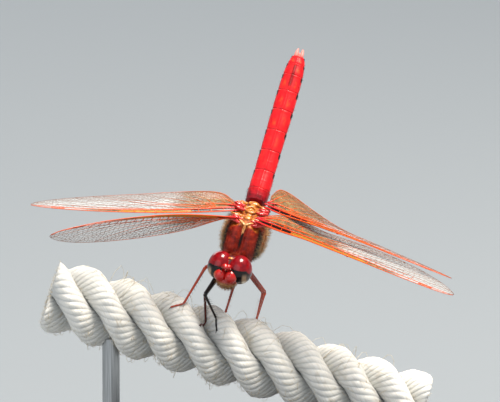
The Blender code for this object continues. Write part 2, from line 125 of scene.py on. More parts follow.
def pose_matrix(pose: Sequence[float], place: Sequence[float] = (0.0, 0.0, 0.0)) -> Matrix:
    """Frame with the given heading, dive and bank, at a place.

    Args:
        pose: heading, dive and bank in degrees.
        place: origin of the frame in millimetres.

    Returns:
        The frame as a four by four matrix.
    """
    heading, dive, bank = (math.radians(angle) for angle in pose)
    turn = (Matrix.Rotation(heading, 4, "Z") @ Matrix.Rotation(dive, 4, "X")
            @ Matrix.Rotation(bank, 4, "Y"))
    return Matrix.Translation(place) @ turn


def moved(matrix: Matrix, points: Array) -> Array:
    """Points of any array shape, taken through a matrix."""
    table = np.array(matrix)
    return np.asarray(points, float) @ table[:3, :3].T + table[:3, 3]


def unit(vectors: Array) -> Array:
    """Vectors of length one."""
    vectors = np.asarray(vectors, float)
    return vectors / np.maximum(np.linalg.norm(vectors, axis=-1, keepdims=True), 1e-12)


# -------- finishes

def linear(code: str) -> tuple[float, float, float, float]:
    """Turn an sRGB hex colour into a linear one.

    Args:
        code: the colour, such as #C02010.

    Returns:
        Linear red, green and blue, and full opacity.
    """
    parts = [int(code[k:k + 2], 16) / 255.0 for k in (1, 3, 5)]
    red, green, blue = (part / 12.92 if part <= 0.04045 else ((part + 0.055) / 1.055) ** 2.4
                        for part in parts)
    return red, green, blue, 1.0


class Paint:
    """Node tree of one material, with a colour that is laid on coat by coat.

    Attributes:
        colour: hex colour or socket of what has been laid on so far.
    """

    def __init__(self, name: str, on_cad: bool) -> None:
        """Start a material with a bare shader.

        Args:
            name: name of the material.
            on_cad: the pieces have no "place" values, so Object coordinates serve.
        """
        self.material = bpy.data.materials.new(name)
        self.material.use_nodes = True
        self.material.node_tree.nodes.clear()
        self.shader = self.node("BsdfPrincipled")
        self.node("OutputMaterial", {"Surface": self.shader.outputs[0]})
        self.on_cad = on_cad
        self.colour: Any = "#000000"

    def node(self, kind: str, settings: dict[Any, Any] | None = None) -> bpy.types.Node:
        """Add one shader node with its settings and links.

        Args:
            kind: the node's type without its ShaderNode prefix.
            settings: node properties by name, a value, hex colour or socket for each
                input by its name or number, and "stops" for the places and hex
                colours of a ramp.

        Returns:
            The new node.
        """
        made = self.material.node_tree.nodes.new("ShaderNode" + kind)
        self.set(made, settings or {})
        return made

    def set(self, node: bpy.types.Node, settings: dict[Any, Any]) -> None:
        """Give a node its settings and links.

        Args:
            node: the node.
            settings: as for a new node.
        """
        for key, value in settings.items():
            if key == "stops":
                ramp = node.color_ramp.elements
                for element, (place, code) in ((ramp[0], value[0]), (ramp[1], value[-1])):
                    element.position, element.color = place, linear(code)
                for place, code in value[1:-1]:
                    ramp.new(place).color = linear(code)
            elif isinstance(value, bpy.types.NodeSocket):
                self.material.node_tree.links.new(value, node.inputs[key])
            elif isinstance(key, int) or key in node.inputs:
                node.inputs[key].default_value = linear(value) if isinstance(value, str) else value
            else:
                setattr(node, key, value)

    @cached_property
    def place(self) -> bpy.types.NodeSocket:
        """Place on the piece's own axes, in millimetres."""
        if self.on_cad:
            spot = self.node("TexCoord").outputs["Object"]
            return self.node("Mapping", {"Scale": (1.0 / MM,) * 3, "Vector": spot}).outputs[0]
        return self.node("Attribute", {"attribute_name": "place"}).outputs["Vector"]

    @cached_property
    def axes(self) -> Any:
        """Sockets X, Y and Z of the place."""
        return self.node("SeparateXYZ", {0: self.place}).outputs

    @cached_property
    def side(self) -> bpy.types.NodeSocket:
        """Distance from the middle plane."""
        return self.node("Math", {"operation": "ABSOLUTE", 0: self.axes["X"]}).outputs[0]

    def within(self, *bands: Any, weight: float = 1.0) -> bpy.types.NodeSocket:
        """Say how far all of some smooth bands hold.

        Args:
            bands: for each, a value's socket, where it counts for nothing and where
                it counts in full.
            weight: the most that they may come to together.

        Returns:
            Socket of their product.
        """
        amount: Any = weight
        for value, low, high in bands:
            part = self.node("MapRange", {"interpolation_type": "SMOOTHSTEP", 0: value,
                                          1: low, 2: high}).outputs[0]
            amount = self.node("Math", {"operation": "MULTIPLY", 0: amount, 1: part}).outputs[0]
        return amount

    def lay(self, colour: Any, *bands: Any, weight: float = 1.0) -> None:
        """Lay a colour over what is there, where all of some bands hold.

        Args:
            colour: hex colour or socket of the new coat.
            bands: as for within.
            weight: how much of the new coat shows at most.
        """
        self.colour = self.node("Mix", {
            "data_type": "RGBA", 0: self.within(*bands, weight=weight),
            6: self.colour, 7: colour}).outputs[2]

    def clouds(self, scale: float, *pigments: Stops, detail: float = 3.0) -> list[Any]:
        """Read colour ramps by one field of soft clouds.

        Args:
            scale: clouds to a millimetre.
            pigments: places and hex colours of each ramp.
            detail: how ragged the clouds are.

        Returns:
            The socket of the clouds, then one of each colour.
        """
        cloud = self.node("TexNoise", {"Scale": scale, "Detail": detail,
                                       "Vector": self.place}).outputs["Fac"]
        return [cloud] + [self.node("ValToRGB", {"stops": stops, 0: cloud}).outputs[0]
                          for stops in pigments]


@dataclass(frozen=True)
class Finish:
    """A surface finish, which becomes one material."""

    name: str                       # what the real surface is
    roughness: float = 0.4          # roughness of its gloss
    coat: float = 0.0               # weight of a clear glossy layer over it
    coat_roughness: float = 0.1
    grain: float = 0.08             # size of its fine bumps
    depth: float = 0.006            # height of those bumps; none for a flat surface
    strength: float = 1.0           # how much of the bumps shows
    specular: float = 0.5           # strength of the gloss under the clear layer
    metallic: float = 0.0           # 1 for bare metal
    sheen: float = 0.0              # weight of a fuzzy edge light
    on_cad: bool = False            # it dresses pieces of the CAD model

    def material(self) -> bpy.types.Material:
        """Make the material, on its first use.

        Returns:
            The material.
        """
        made = bpy.data.materials.get(self.name)
        if made is not None:
            return made
        paint = Paint(self.name, self.on_cad)
        self.dress(paint)
        paint.set(paint.shader, {
            "Base Color": paint.colour, "Roughness": self.roughness, "Coat Weight": self.coat,
            "Coat Roughness": self.coat_roughness, "Specular IOR Level": self.specular,
            "Metallic": self.metallic, "Sheen Weight": self.sheen})
        if self.depth:
            bump = paint.node("Bump", {"Distance": self.depth * MM, "Strength": self.strength,
                                       "Height": self.relief(paint)})
            paint.set(paint.shader, {"Normal": bump.outputs[0]})
        return paint.material

    def dress(self, paint: Paint) -> None:
        """Lay on the colours."""
        raise NotImplementedError

    def relief(self, paint: Paint) -> bpy.types.NodeSocket:
        """Socket of the height of the fine bumps: a grain of noise."""
        return paint.clouds(1.0 / self.grain)[0]


@dataclass(frozen=True)
class EyeCuticle(Finish):
    """Compound eye: clear lens cuticle over dark red pigment.

    It gives the eye a deep garnet dome with a hard black lower edge, a painted
    beige reflection streak ending in a painted highlight, a warm grey underside,
    a cream rim behind, and one long sharp highlight.
    """

    def dress(self, paint: Paint) -> None:
        """Paint the dome, the black belt, the painted reflection and highlight, the underside and the
        rim.

        Args:
            paint: the material's node tree.
        """
        high, out = paint.axes["Z"], paint.side
        paint.colour = paint.clouds(1.4, (
            (0.3, "#6C0410"), (0.55, "#880814"), (0.75, "#A20E16")), detail=2.0)[1]
        dip = paint.node("Math", {"operation": "ADD", 0: high,
                                  1: paint.within((out, 1.1, 1.6), weight=0.55)}).outputs[0]
        paint.lay("#050102", (dip, 0.54, 0.42))
        paint.lay("#34100C", (dip, 0.54, 0.42), (out, 1.2, 1.6))
        # Painted reflection: a beige streak down the eye, ending low down in a painted white
        # highlight.
        streak = ((out, 0.66, 0.94), (out, 1.42, 1.14))
        paint.lay("#B08E70", *streak, (high, 0.2, -0.5))
        paint.lay("#FFF4DC", *streak, (high, -0.9, -1.5))
        paint.lay("#7A5038", (high, -1.2, -1.9), weight=0.8)
        paint.lay("#E2CDA0", (paint.axes["Y"], 1.12, 1.28), (high, 0.6, -0.1))

    def relief(self, paint: Paint) -> bpy.types.NodeSocket:
        """Honeycomb of domed facets, drawn twice as coarse as real ones so that they show."""
        facets = paint.node("TexVoronoi", {"Scale": 1.0 / self.grain, "Vector": paint.place})
        return paint.node("Math", {"operation": "SUBTRACT", 0: 1.0,
                                   1: facets.outputs["Distance"]}).outputs[0]


@dataclass(frozen=True)
class FaceCuticle(Finish):
    """Smooth face plates: waxed-looking red above, straw and brown below.

    It gives the eye two cherry balls that fade to orange flanks, then a duller
    straw-yellow mouth with brown seams.
    """

    def dress(self, paint: Paint) -> None:
        """Paint the plates by their height on the head.

        Args:
            paint: the material's node tree.
        """
        height = paint.node("Math", {"operation": "MULTIPLY_ADD", 0: paint.clouds(2.5)[0],
                                     1: 0.15, 2: paint.axes["Z"]}).outputs[0]
        span = paint.node("MapRange", {0: height, 1: -2.5, 2: 1.5}).outputs[0]
        paint.colour = paint.node("ValToRGB", {0: span, "stops": (
            (0.0, "#3E2412"), (0.1, "#6E4622"), (0.2, "#936A34"), (0.3, "#A87038"),
            (0.35, "#A8401C"), (0.41, "#B21610"), (0.6, "#CE1A14"), (0.8, "#B81414"))}).outputs[0]
        paint.lay("#D8681F", (paint.side, 1.25, 1.7), weight=0.7)
        paint.lay("#2A100A", (paint.axes["Y"], 0.0, 0.6))


@dataclass(frozen=True)
class BeadCuticle(Finish):
    """Small part of one hue in two pigments, such as an ocellus or a neck plate.

    Attributes:
        dark: hex colour of its shaded pigment.
        light: hex colour of its paler pigment.
    """

    dark: str = "#6A1010"
    light: str = "#D04030"

    def dress(self, paint: Paint) -> None:
        """Mix the two pigments in soft clouds.

        Args:
            paint: the material's node tree.
        """
        paint.colour = paint.clouds(3.0, ((0.35, self.dark), (0.65, self.light)))[1]


@dataclass(frozen=True)
class ThoraxWall(Finish):
    """Leathery thorax wall, dull between hairs, with fine pits.

    It gives the eye red-brown front lobes, black seams, tan flanks and amber plates
    on the back.
    """

    def dress(self, paint: Paint) -> None:
        """Paint the markings of the thorax.

        Args:
            paint: the material's node tree.
        """
        back, high = paint.axes["Y"], paint.axes["Z"]
        cloud, paint.colour, flank, amber = paint.clouds(
            1.6, ((0.3, "#5C0E08"), (0.5, "#94200E"), (0.7, "#B8361A")),
            ((0.3, "#94400E"), (0.5, "#D06C20"), (0.7, "#E89C4A")),
            ((0.3, "#62260E"), (0.5, "#A04E18"), (0.68, "#C87C2E")), detail=4.0)
        out = paint.node("Math", {"operation": "MULTIPLY_ADD", 0: cloud, 1: 0.5,
                                  2: paint.side}).outputs[0]
        paint.lay(flank, (out, 2.55, 2.95))
        slant = paint.node("Math", {"operation": "MULTIPLY_ADD", 0: high, 1: -SEAM_SLANT,
                                    2: back}).outputs[0]
        for middle in (-1.55, 0.9, 2.9):
            paint.lay("#160B08", (slant, middle - 0.34, middle - 0.1),
                      (slant, middle + 0.34, middle + 0.1), (out, 1.9, 2.3))
        paint.lay("#140A08", (out, 2.2, 2.45), (out, 2.95, 2.7), (back, -1.6, -2.1))
        paint.lay("#100606", (paint.side, 0.26, 0.08), (back, -2.3, -2.8), (high, -3.6, -2.2))
        paint.lay(amber, (high, -1.15, -0.75), (back, -3.0, -2.6))
        paint.lay("#3A2013", (high, -5.2, -6.0))


@dataclass(frozen=True)
class ThoraxHair(ThoraxWall):
    """Fine bristle hair: the wall's markings at the root, straw at the tip."""

    def dress(self, paint: Paint) -> None:
        """Fade each hair from the colour of its root to a pale tip.

        Args:
            paint: the material's node tree.
        """
        super().dress(paint)
        height, pale = (paint.node("Attribute", {"attribute_name": name}).outputs["Fac"]
                        for name in ("height", "pale"))
        paint.lay("#F4D29C", (height, -0.3, 0.7), (pale, 0.0, 1.0))


@dataclass(frozen=True)
class AbdomenShell(Finish):
    """Scarlet abdomen shell with a waxy gloss.

    It gives the eye an even signal red, crimson at the waist, with thin dark
    joints, short black dashes low on the sides, an orange glow beside the
    keel and a dark keel near the tip.  Place holds the share of the half width,
    the segment number and the share of the height.
    """

    def dress(self, paint: Paint) -> None:
        """Paint the segments.

        Args:
            paint: the material's node tree.
        """
        along, high, side = paint.axes["Y"], paint.axes["Z"], paint.side
        step = paint.node("Math", {"operation": "FRACT", 0: along}).outputs[0]
        cloud, paint.colour, red = paint.clouds(
            2.2, ((0.3, "#5A0A14"), (0.6, "#A01020")),
            ((0.3, "#CC0C1A"), (0.55, "#E8161F"), (0.75, "#F22824")), detail=4.0)
        paint.lay(red, (along, 1.2, 2.3))
        for joint in ((0.955, 0.985), (0.05, 0.01)):
            paint.lay("#8A0C12", (step, *joint), weight=0.6)
        paint.lay("#F84A1C", (side, 0.14, 0.32), (side, 0.7, 0.5), (step, 0.12, 0.3),
                  (step, 0.72, 0.5), (along, 2.6, 6.5), (cloud, 0.4, 0.7))
        paint.lay("#160606", (side, 0.84, 0.92), (step, 0.66, 0.78), (along, 2.4, 2.9))
        paint.lay("#5E0A10", (side, 0.34, 0.02), (along, 7.1, 7.4), (along, 8.95, 8.8),
                  (high, 0.2, 0.5), weight=0.75)
        paint.lay("#8A3A24", (high, -0.55, -0.8))
        paint.lay("#E88A80", (along, 10.02, 10.3))


@dataclass(frozen=True)
class WarmCuticle(Finish):
    """Hard glossy shell whose pigment the attribute "warm" picks from a ramp.

    Attributes:
        stops: places and hex colours of the pigments.
        blotch: how far soft clouds move the pigment.
    """

    stops: Stops = ()
    blotch: float = 0.1

    def dress(self, paint: Paint) -> None:
        """Read the pigment by warmth, broken by soft clouds.

        Args:
            paint: the material's node tree.
        """
        warm = paint.node("Attribute", {"attribute_name": "warm"}).outputs["Fac"]
        drift = paint.node("Math", {"operation": "MULTIPLY_ADD", 0: paint.clouds(1.8)[0],
                                    1: self.blotch, 2: -self.blotch / 2}).outputs[0]
        mixed = paint.node("Math", {"operation": "ADD", 0: warm, 1: drift}).outputs[0]
        paint.colour = paint.node("ValToRGB", {"stops": self.stops, 0: mixed}).outputs[0]


@dataclass(frozen=True)
class WingFilm(Finish):
    """Clear wing film: nearly invisible, stained amber and smoke near the root.

    The bare film's pale milky tint is partly painted sheen.

    Attributes:
        clear: opacity of the bare film.
        stained: opacity of the amber stain.
        sooty: opacity of the dark streaks.
    """

    clear: float = 0.16
    stained: float = 0.88
    sooty: float = 0.95

    def dress(self, paint: Paint) -> None:
        """Stain the film and make it opaque where it is stained.

        Args:
            paint: the material's node tree.
        """
        amber, smoke = (paint.node("Attribute", {"attribute_name": name}).outputs["Fac"]
                        for name in ("amber", "smoke"))
        paint.colour = paint.clouds(0.9, (
            (0.3, "#5E4A2A"), (0.5, "#82683C"), (0.7, "#A48A58")))[1]
        paint.lay("#C88A22", (amber, 0.8, 0.95))
        # Partly painted sheen: a pale milky tint on the bare film, standing for its silvery glints.
        paint.lay("#EEECE6", (amber, 0.4, 0.0))
        paint.lay("#1C0C06", (smoke, 0.2, 0.7))
        film = paint.node("Math", {"operation": "MULTIPLY_ADD", 0: amber,
                                   1: self.stained - self.clear, 2: self.clear}).outputs[0]
        soot = paint.within((smoke, 0.1, 0.7), weight=self.sooty)
        opacity = paint.node("Math", {"operation": "MAXIMUM", 0: film, 1: soot})
        paint.set(paint.shader, {"Alpha": opacity.outputs[0]})


@dataclass(frozen=True)
class RopeFibre(Finish):
    """Bleached spun rope: matt white yarns with grey-green shade between them."""

    def dress(self, paint: Paint) -> None:
        """Shade the grooves, soil some yarns and streak them along their length.

        Args:
            paint: the material's node tree.
        """
        groove = paint.node("Attribute", {"attribute_name": "groove"}).outputs["Fac"]
        drawn = paint.node("Mapping", {"Scale": (0.5, 9.0, 9.0), "Vector": paint.place})
        threads = paint.node("TexNoise", {"Scale": 0.8, "Detail": 3.0, "Vector": drawn.outputs[0]})
        paint.colour = paint.node("ValToRGB", {0: threads.outputs["Fac"], "stops": (
            (0.3, "#E6E2D6"), (0.5, "#F6F3EB"), (0.7, "#FFFEFA"))}).outputs[0]
        paint.lay("#B9A57C", (paint.clouds(0.35, detail=4.0)[0], 0.58, 0.75), weight=0.5)
        # Painted shade: grey-blue laid into the grooves between yarns and the valleys between strands.
        paint.lay("#A4ABB0", (groove, 0.0, 1.0), weight=0.42)


@dataclass(frozen=True)
class Plain(Finish):
    """Stand and floor surfaces: one hue with dust-fine variation.

    Attributes:
        pigments: places and hex colours of the variation.
        speck: size of the specks, in millimetres.
        draw: how far the grain is drawn out along Z.
    """

    pigments: Stops = ()
    speck: float = 0.6
    draw: float = 1.0

    def dress(self, paint: Paint) -> None:
        """Scatter the tones in specks, or lay on the only one.

        Args:
            paint: the material's node tree.
        """
        paint.colour = self.pigments[0][1]
        if len(self.pigments) > 1:
            paint.colour = paint.node("ValToRGB", {"stops": self.pigments,
                                                   0: self.streaks(paint, self.speck)}).outputs[0]

    def relief(self, paint: Paint) -> bpy.types.NodeSocket:
        """Socket of the height of the grain."""
        return self.streaks(paint, self.grain)

    def streaks(self, paint: Paint, size: float) -> bpy.types.NodeSocket:
        """Socket of noise of a size in millimetres, drawn out along Z."""
        drawn = paint.node("Mapping", {"Scale": (1.0 / size, 1.0 / size, 1.0 / size / self.draw),
                                       "Vector": paint.place})
        return paint.node("TexNoise", {"Scale": 1.0, "Detail": 3.0,
                                       "Vector": drawn.outputs[0]}).outputs["Fac"]


EYE = EyeCuticle("compound_eye_cuticle", 0.3, 0.75, 0.06, grain=0.07, depth=0.004, strength=0.08,
                 specular=0.1)
FACE = FaceCuticle("face_cuticle", 0.3, 0.5, 0.12, grain=0.12)
THORAX_WALL = ThoraxWall("thorax_cuticle", 0.5, 0.1, 0.3, grain=0.1, depth=0.02, specular=0.25)
THORAX_HAIR = ThoraxHair("thorax_hair", 0.55, grain=0.2, depth=0.002, specular=0.15)
ABDOMEN_SHELL = AbdomenShell("abdomen_cuticle", 0.42, 0.15, 0.25, grain=0.09, specular=0.3)
LEG_SHELL = WarmCuticle("leg_cuticle", 0.25, 0.6, 0.1, grain=0.1, specular=0.25, blotch=0.5, stops=(
    (0.0, "#080404"), (0.25, "#1C0807"), (0.5, "#4C120B"), (0.75, "#962C14"),
    (0.9, "#CC4C20"), (1.0, "#E88A60")))
WING_VEIN = WarmCuticle("wing_vein_cuticle", 0.3, 0.2, 0.15, grain=0.15, depth=0.003,
                        specular=0.25, stops=(
    (0.0, "#6E5246"), (0.3, "#8A4A26"), (0.6, "#D4581C"), (0.85, "#E8581A"), (1.0, "#D8242C")))
WING_FILM = WingFilm("wing_membrane", 0.2, grain=0.35, depth=0.02, specular=0.35)
ROPE_FIBRE = RopeFibre("spun_rope_fibre", 0.85, grain=0.12, depth=0.05, sheen=0.25)
# Sprayed satin black on board: near-black, a broad soft gloss and faint orange peel.
LACQUER = Plain("satin_black_lacquer", 0.38, grain=1.5, depth=0.02, strength=0.6, on_cad=True,
                pigments=((0.4, "#16171A"), (0.7, "#1F2023")))
# Stainless rod brushed along its length: bright metal with fine upright scratches.
STEEL = Plain("brushed_stainless_steel", 0.3, grain=0.12, depth=0.004, strength=0.5,
              metallic=1.0, on_cad=True, speck=0.12, draw=60.0,
              pigments=((0.35, "#9A9C9E"), (0.65, "#C6C8CA")))
FLOOR = Plain("studio_floor", 0.8, depth=0.0, pigments=((0.0, "#8B9298"),))
OCELLUS = BeadCuticle("ocellus_lens", 0.1, 1.0, 0.03, dark="#4A100A", light="#A04A30")
HEAD_WALL = BeadCuticle("head_wall_cuticle", 0.4, 0.3, dark="#2C0809", light="#5E0E12")
MOUTH_HAIR = BeadCuticle("mouth_hair", 0.5, dark="#7E4A22", light="#BE8448")
OCCIPUT = BeadCuticle("occiput_plate", 0.3, 0.5, dark="#C8621E", light="#F09A48")
ANTENNA = BeadCuticle("antenna_cuticle", 0.35, 0.3, dark="#0E0806", light="#2E1610")
BRISTLE = BeadCuticle("black_bristle", 0.35, 0.2, dark="#0C0807", light="#2A1A12")
# Spines of the left legs, pale as painted highlight; the same spines on the right legs are black.
PALE_BRISTLE = BeadCuticle("pale_bristle", 0.45, 0.1, dark="#C89A8C", light="#F0D8CC")
RED_PLATE = BeadCuticle("wing_hinge_red", 0.28, 0.6, dark="#A80E14", light="#E23A34")
AMBER_PLATE = BeadCuticle("notum_amber", 0.3, 0.5, dark="#944410", light="#DE9030")
CREST = BeadCuticle("pale_crest", 0.35, 0.4, dark="#D07A34", light="#F2B878")
STIGMA = BeadCuticle("wing_stigma", 0.35, 0.4, dark="#C03418", light="#E86030")
LINT = BeadCuticle("rope_lint", 0.8, dark="#B8A070", light="#EDE8DA")




# -------- mesh helpers

class Heap:
    """Points, faces and per-point values of one piece, gathered part by part."""

    def __init__(self) -> None:
        """Start empty."""
        self.points: list[Array] = []
        self.faces: list[Sequence[int]] = []
        self.values: dict[str, list[Array]] = {}
        self.count = 0

    def add(self, points: Array, faces: Sequence[Sequence[int]], **values: Any) -> None:
        """Add one part.

        Args:
            points: its points in millimetres.
            faces: its faces, numbered from its own first point.
            values: one number, vector or array of them for the points, by name.
        """
        points = np.asarray(points, float).reshape(-1, 3)
        self.faces.extend([tuple(self.count + int(k) for k in face) for face in faces])
        self.points.append(points)
        self.count += len(points)
        for name, value in values.items():
            value = np.asarray(value, float)
            if value.ndim == 0 or len(value) != len(points):
                value = np.broadcast_to(value, (len(points), *value.shape))
            self.values.setdefault(name, []).append(value)

    def loft(self, rings: Array, closed: bool = False, **values: Any) -> None:
        """Skin a run of closed rings, with outward faces.

        Args:
            rings: points of shape (rings, points in a ring, 3).
            closed: the last ring joins the first, instead of a fan over each end.
            values: numbers or vectors for each ring point, or one for all, by name.
        """
        rows, count = rings.shape[:2]
        index = np.arange(rows * count).reshape(rows, count)
        loop = np.vstack([index, index[:1]]) if closed else index
        after = np.roll(loop, -1, axis=1)
        faces = np.stack([loop[:-1], after[:-1], after[1:], loop[1:]], -1).reshape(-1, 4).tolist()
        points = rings.reshape(-1, 3)
        if not closed:
            points = np.vstack([points, rings[0].mean(0), rings[-1].mean(0)])
            for k in range(count):
                faces.append((rows * count, after[0, k], index[0, k]))
                faces.append((rows * count + 1, index[-1, k], after[-1, k]))
        fans = [(face[0], *face[k:k + 2]) for face in faces for k in range(1, len(face) - 1)]
        table = (points - points.mean(0))[np.array(fans)]
        if np.einsum("ij,ij->", table[:, 0], np.cross(table[:, 1], table[:, 2])) < 0.0:
            faces = [tuple(face)[::-1] for face in faces]
        full = {}
        for name, value in values.items():
            value = np.asarray(value, float)
            if value.shape[:2] == (rows, count):
                ends = [] if closed else [[value[0].mean(0), value[-1].mean(0)]]
                value = np.concatenate([value.reshape(-1, *value.shape[2:]), *ends])
            full[name] = value
        self.add(points, faces, **full)

    def tube(self, path: Array, radii: Array, sides: int = 10, flat: float = 1.0,
             **values: Any) -> None:
        """Skin a round bar along a path.

        Args:
            path: points of its middle line.
            radii: its half thickness at each point.
            sides: points in each ring.
            flat: thickness across the bar's own up as a share of its width.
            values: numbers or vectors for each path point, or one for all, by name.
        """
        path = np.asarray(path, float)
        radii = np.broadcast_to(np.asarray(radii, float), (len(path),))
        heading = unit(np.gradient(path, axis=0))
        up = np.array([0.0, 0.0, 1.0])
        if abs(heading[0] @ up) > 0.9:
            up = np.array([1.0, 0.0, 0.0])
        angles = TAU * np.arange(sides) / sides
        rings = []
        for point, forward, radius in zip(path, heading, radii):
            up = unit(up - forward * (up @ forward))
            across = np.cross(forward, up)
            rings.append(point + radius * (np.cos(angles)[:, None] * across
                                           + flat * np.sin(angles)[:, None] * up))
        spread = {name: np.repeat(np.asarray(value, float)[:, None], sides, axis=1)
                  if np.ndim(value) and len(value) == len(path) else value
                  for name, value in values.items()}
        self.loft(np.array(rings), **spread)

    @staticmethod
    def circles(forward: Array, sides: int, spots: Sequence[tuple[Array, Array]]) -> list[Array]:
        """Rings of points round many thin bars.

        Args:
            forward: unit heading of each bar.
            sides: points in a ring.
            spots: for each ring, its centre and radius on every bar.

        Returns:
            One table of points, a row for each bar, for each point of the rings.
        """
        helper = np.where(np.abs(forward[:, 2:3]) > 0.9, [[1.0, 0.0, 0.0]], [[0.0, 0.0, 1.0]])
        across = unit(np.cross(helper, forward))
        up = np.cross(forward, across)
        turns = [turn * TAU / sides for turn in range(sides)]
        return [centre + radii[:, None] * (math.cos(turn) * across + math.sin(turn) * up)
                for centre, radii in spots for turn in turns]

    def many(self, corners: list[Array], shape: Sequence[Sequence[int]], **values: Array) -> None:
        """Add many copies of one small shape.

        Args:
            corners: a table for each corner, with a row for each copy.
            shape: faces of one copy.
            values: one number or vector for each copy, by name.
        """
        count, size = len(corners[0]), len(corners)
        faces = [tuple(size * n + k for k in face) for n in range(count) for face in shape]
        self.add(np.stack(corners, 1), faces, **values)

    def prisms(self, starts: Array, stops: Array, radii: Array, **values: Array) -> None:
        """Add many thin four-sided bars at once.

        Args:
            starts: first end of each bar.
            stops: second end of each bar.
            radii: half thickness of each bar.
            values: one number or vector for each bar, by name.
        """
        corners = self.circles(unit(stops - starts), 4, ((starts, radii), (stops, radii)))
        shape = [(0, 1, 5, 4), (1, 2, 6, 5), (2, 3, 7, 6), (3, 0, 4, 7), (3, 2, 1, 0), (4, 5, 6, 7)]
        self.many(corners, shape, **{name: np.repeat(value, 8, axis=0)
                                     for name, value in values.items()})

    def hairs(self, roots: Array, tips: Array, bends: Array, radii: Array, maps: Array,
              **values: Array) -> None:
        """Add many three-sided curved bristles at once.

        Args:
            roots: foot of each hair.
            tips: point of each hair.
            bends: shift of each hair's middle from a straight line.
            radii: half thickness at the foot.
            maps: corner of each hair's patch on the bake map.
            values: one number or vector for each hair, by name.
        """
        heights = np.tile([0.0, 0.0, 0.0, 0.55, 0.55, 0.55, 1.0], len(roots))
        turns = np.tile([0.1, 0.5, 0.9, 0.1, 0.5, 0.9, 0.5], len(roots))
        middles = (roots + tips) / 2 + bends
        corners = self.circles(unit(tips - roots), 3, ((roots, radii), (middles, 0.7 * radii)))
        shape = [(0, 1, 4, 3), (1, 2, 5, 4), (2, 0, 3, 5), (2, 1, 0), (3, 4, 6), (4, 5, 6), (5, 3, 6)]
        spread = {name: np.repeat(value, 7, axis=0) for name, value in values.items()}
        spread[BAKE_MAP] = (np.repeat(maps * (1.0 - PATCH), 7, axis=0)
                            + PATCH * np.stack([turns, heights], -1))
        self.many([*corners, tips], shape, height=heights, **spread)

    def build(self, name: str, finish: Finish, slot: str,
              replaced: Sequence[str] = ()) -> bpy.types.Object:
        """Make the piece, dress it and let it ride on the model.

        Args:
            name: name of the piece.
            finish: its surface finish.
            slot: the record's material slot it belongs to; not used.
            replaced: CAD nodes that it stands for.

        Returns:
            The finished object.
        """
        mesh = bpy.data.meshes.new(name)
        mesh.from_pydata((np.vstack(self.points) * MM).tolist(), [], self.faces)
        for key, rows in self.values.items():
            table = np.concatenate(rows)
            if key == BAKE_MAP:
                layer = mesh.uv_layers.new(name=BAKE_MAP)
                corner = np.zeros(len(mesh.loops), np.int32)
                mesh.loops.foreach_get("vertex_index", corner)
                layer.data.foreach_set("uv", table[corner].astype(np.float32).ravel())
                continue
            kind, slot_name = ("FLOAT_VECTOR", "vector") if table.ndim == 2 else ("FLOAT", "value")
            attribute = mesh.attributes.new(key, kind, "POINT")
            attribute.data.foreach_set(slot_name, table.astype(np.float32).ravel())
        mesh.shade_smooth()
        item = bpy.data.objects.new(name, mesh)
        bpy.context.scene.collection.objects.link(item)
        return settle(item, finish, replaced)


def settle(item: bpy.types.Object, finish: Finish,
           replaced: Sequence[str] = ()) -> bpy.types.Object:
    """Give a piece its material and say what it rides on and stands for.

    Args:
        item: the piece, with its place in its mesh.
        finish: its surface finish.
        replaced: CAD nodes that it stands for.

    Returns:
        The same piece.
    """
    item.data.materials.clear()
    item.data.materials.append(finish.material())
    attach(item, BODY)
    if replaced:
        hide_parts(*replaced)
    LOG.info("%s: %d faces", item.name, len(item.data.polygons))
    return item


def ball(name: str, turn: Matrix, half: Sequence[float], detail: tuple[int, int], finish: Finish,
         replaced: Sequence[str] = (), shape: Shape | None = None,
         axes: Matrix | None = None) -> None:
    """Make a piece from a ball primitive, pulled to an ellipsoid and shaped.

    Args:
        name: name of the piece.
        turn: frame of its centre and axes, in millimetres.
        half: half sizes along its axes.
        detail: faces round it, and from pole to pole.
        finish: its surface finish.
        replaced: CAD nodes that it stands for.
        shape: function from directions on the unit ball to the share of the half
            sizes at each of them.
        axes: frame that its "place" values are on, if it isn't its own.
    """
    bpy.ops.object.select_all(action="DESELECT")
    bpy.ops.mesh.primitive_uv_sphere_add(segments=detail[0], ring_count=detail[1], radius=1.0)
    item = bpy.context.object
    mesh = item.data
    item.name = mesh.name = name
    ways = np.zeros(3 * len(mesh.vertices))
    mesh.vertices.foreach_get("co", ways)
    ways = ways.reshape(-1, 3)
    local = ways * np.array(half)
    if shape is not None:
        local = local * np.asarray(shape(ways)).reshape(len(ways), -1)
    mesh.vertices.foreach_set("co", (moved(turn, local) * MM).ravel())
    place = moved((axes or turn).inverted() @ turn, local)
    attribute = mesh.attributes.new("place", "FLOAT_VECTOR", "POINT")
    attribute.data.foreach_set("vector", place.astype(np.float32).ravel())
    while mesh.uv_layers:
        mesh.uv_layers.remove(mesh.uv_layers[0])
    mesh.shade_smooth()
    settle(item, finish, replaced)




# -------- stand, perch

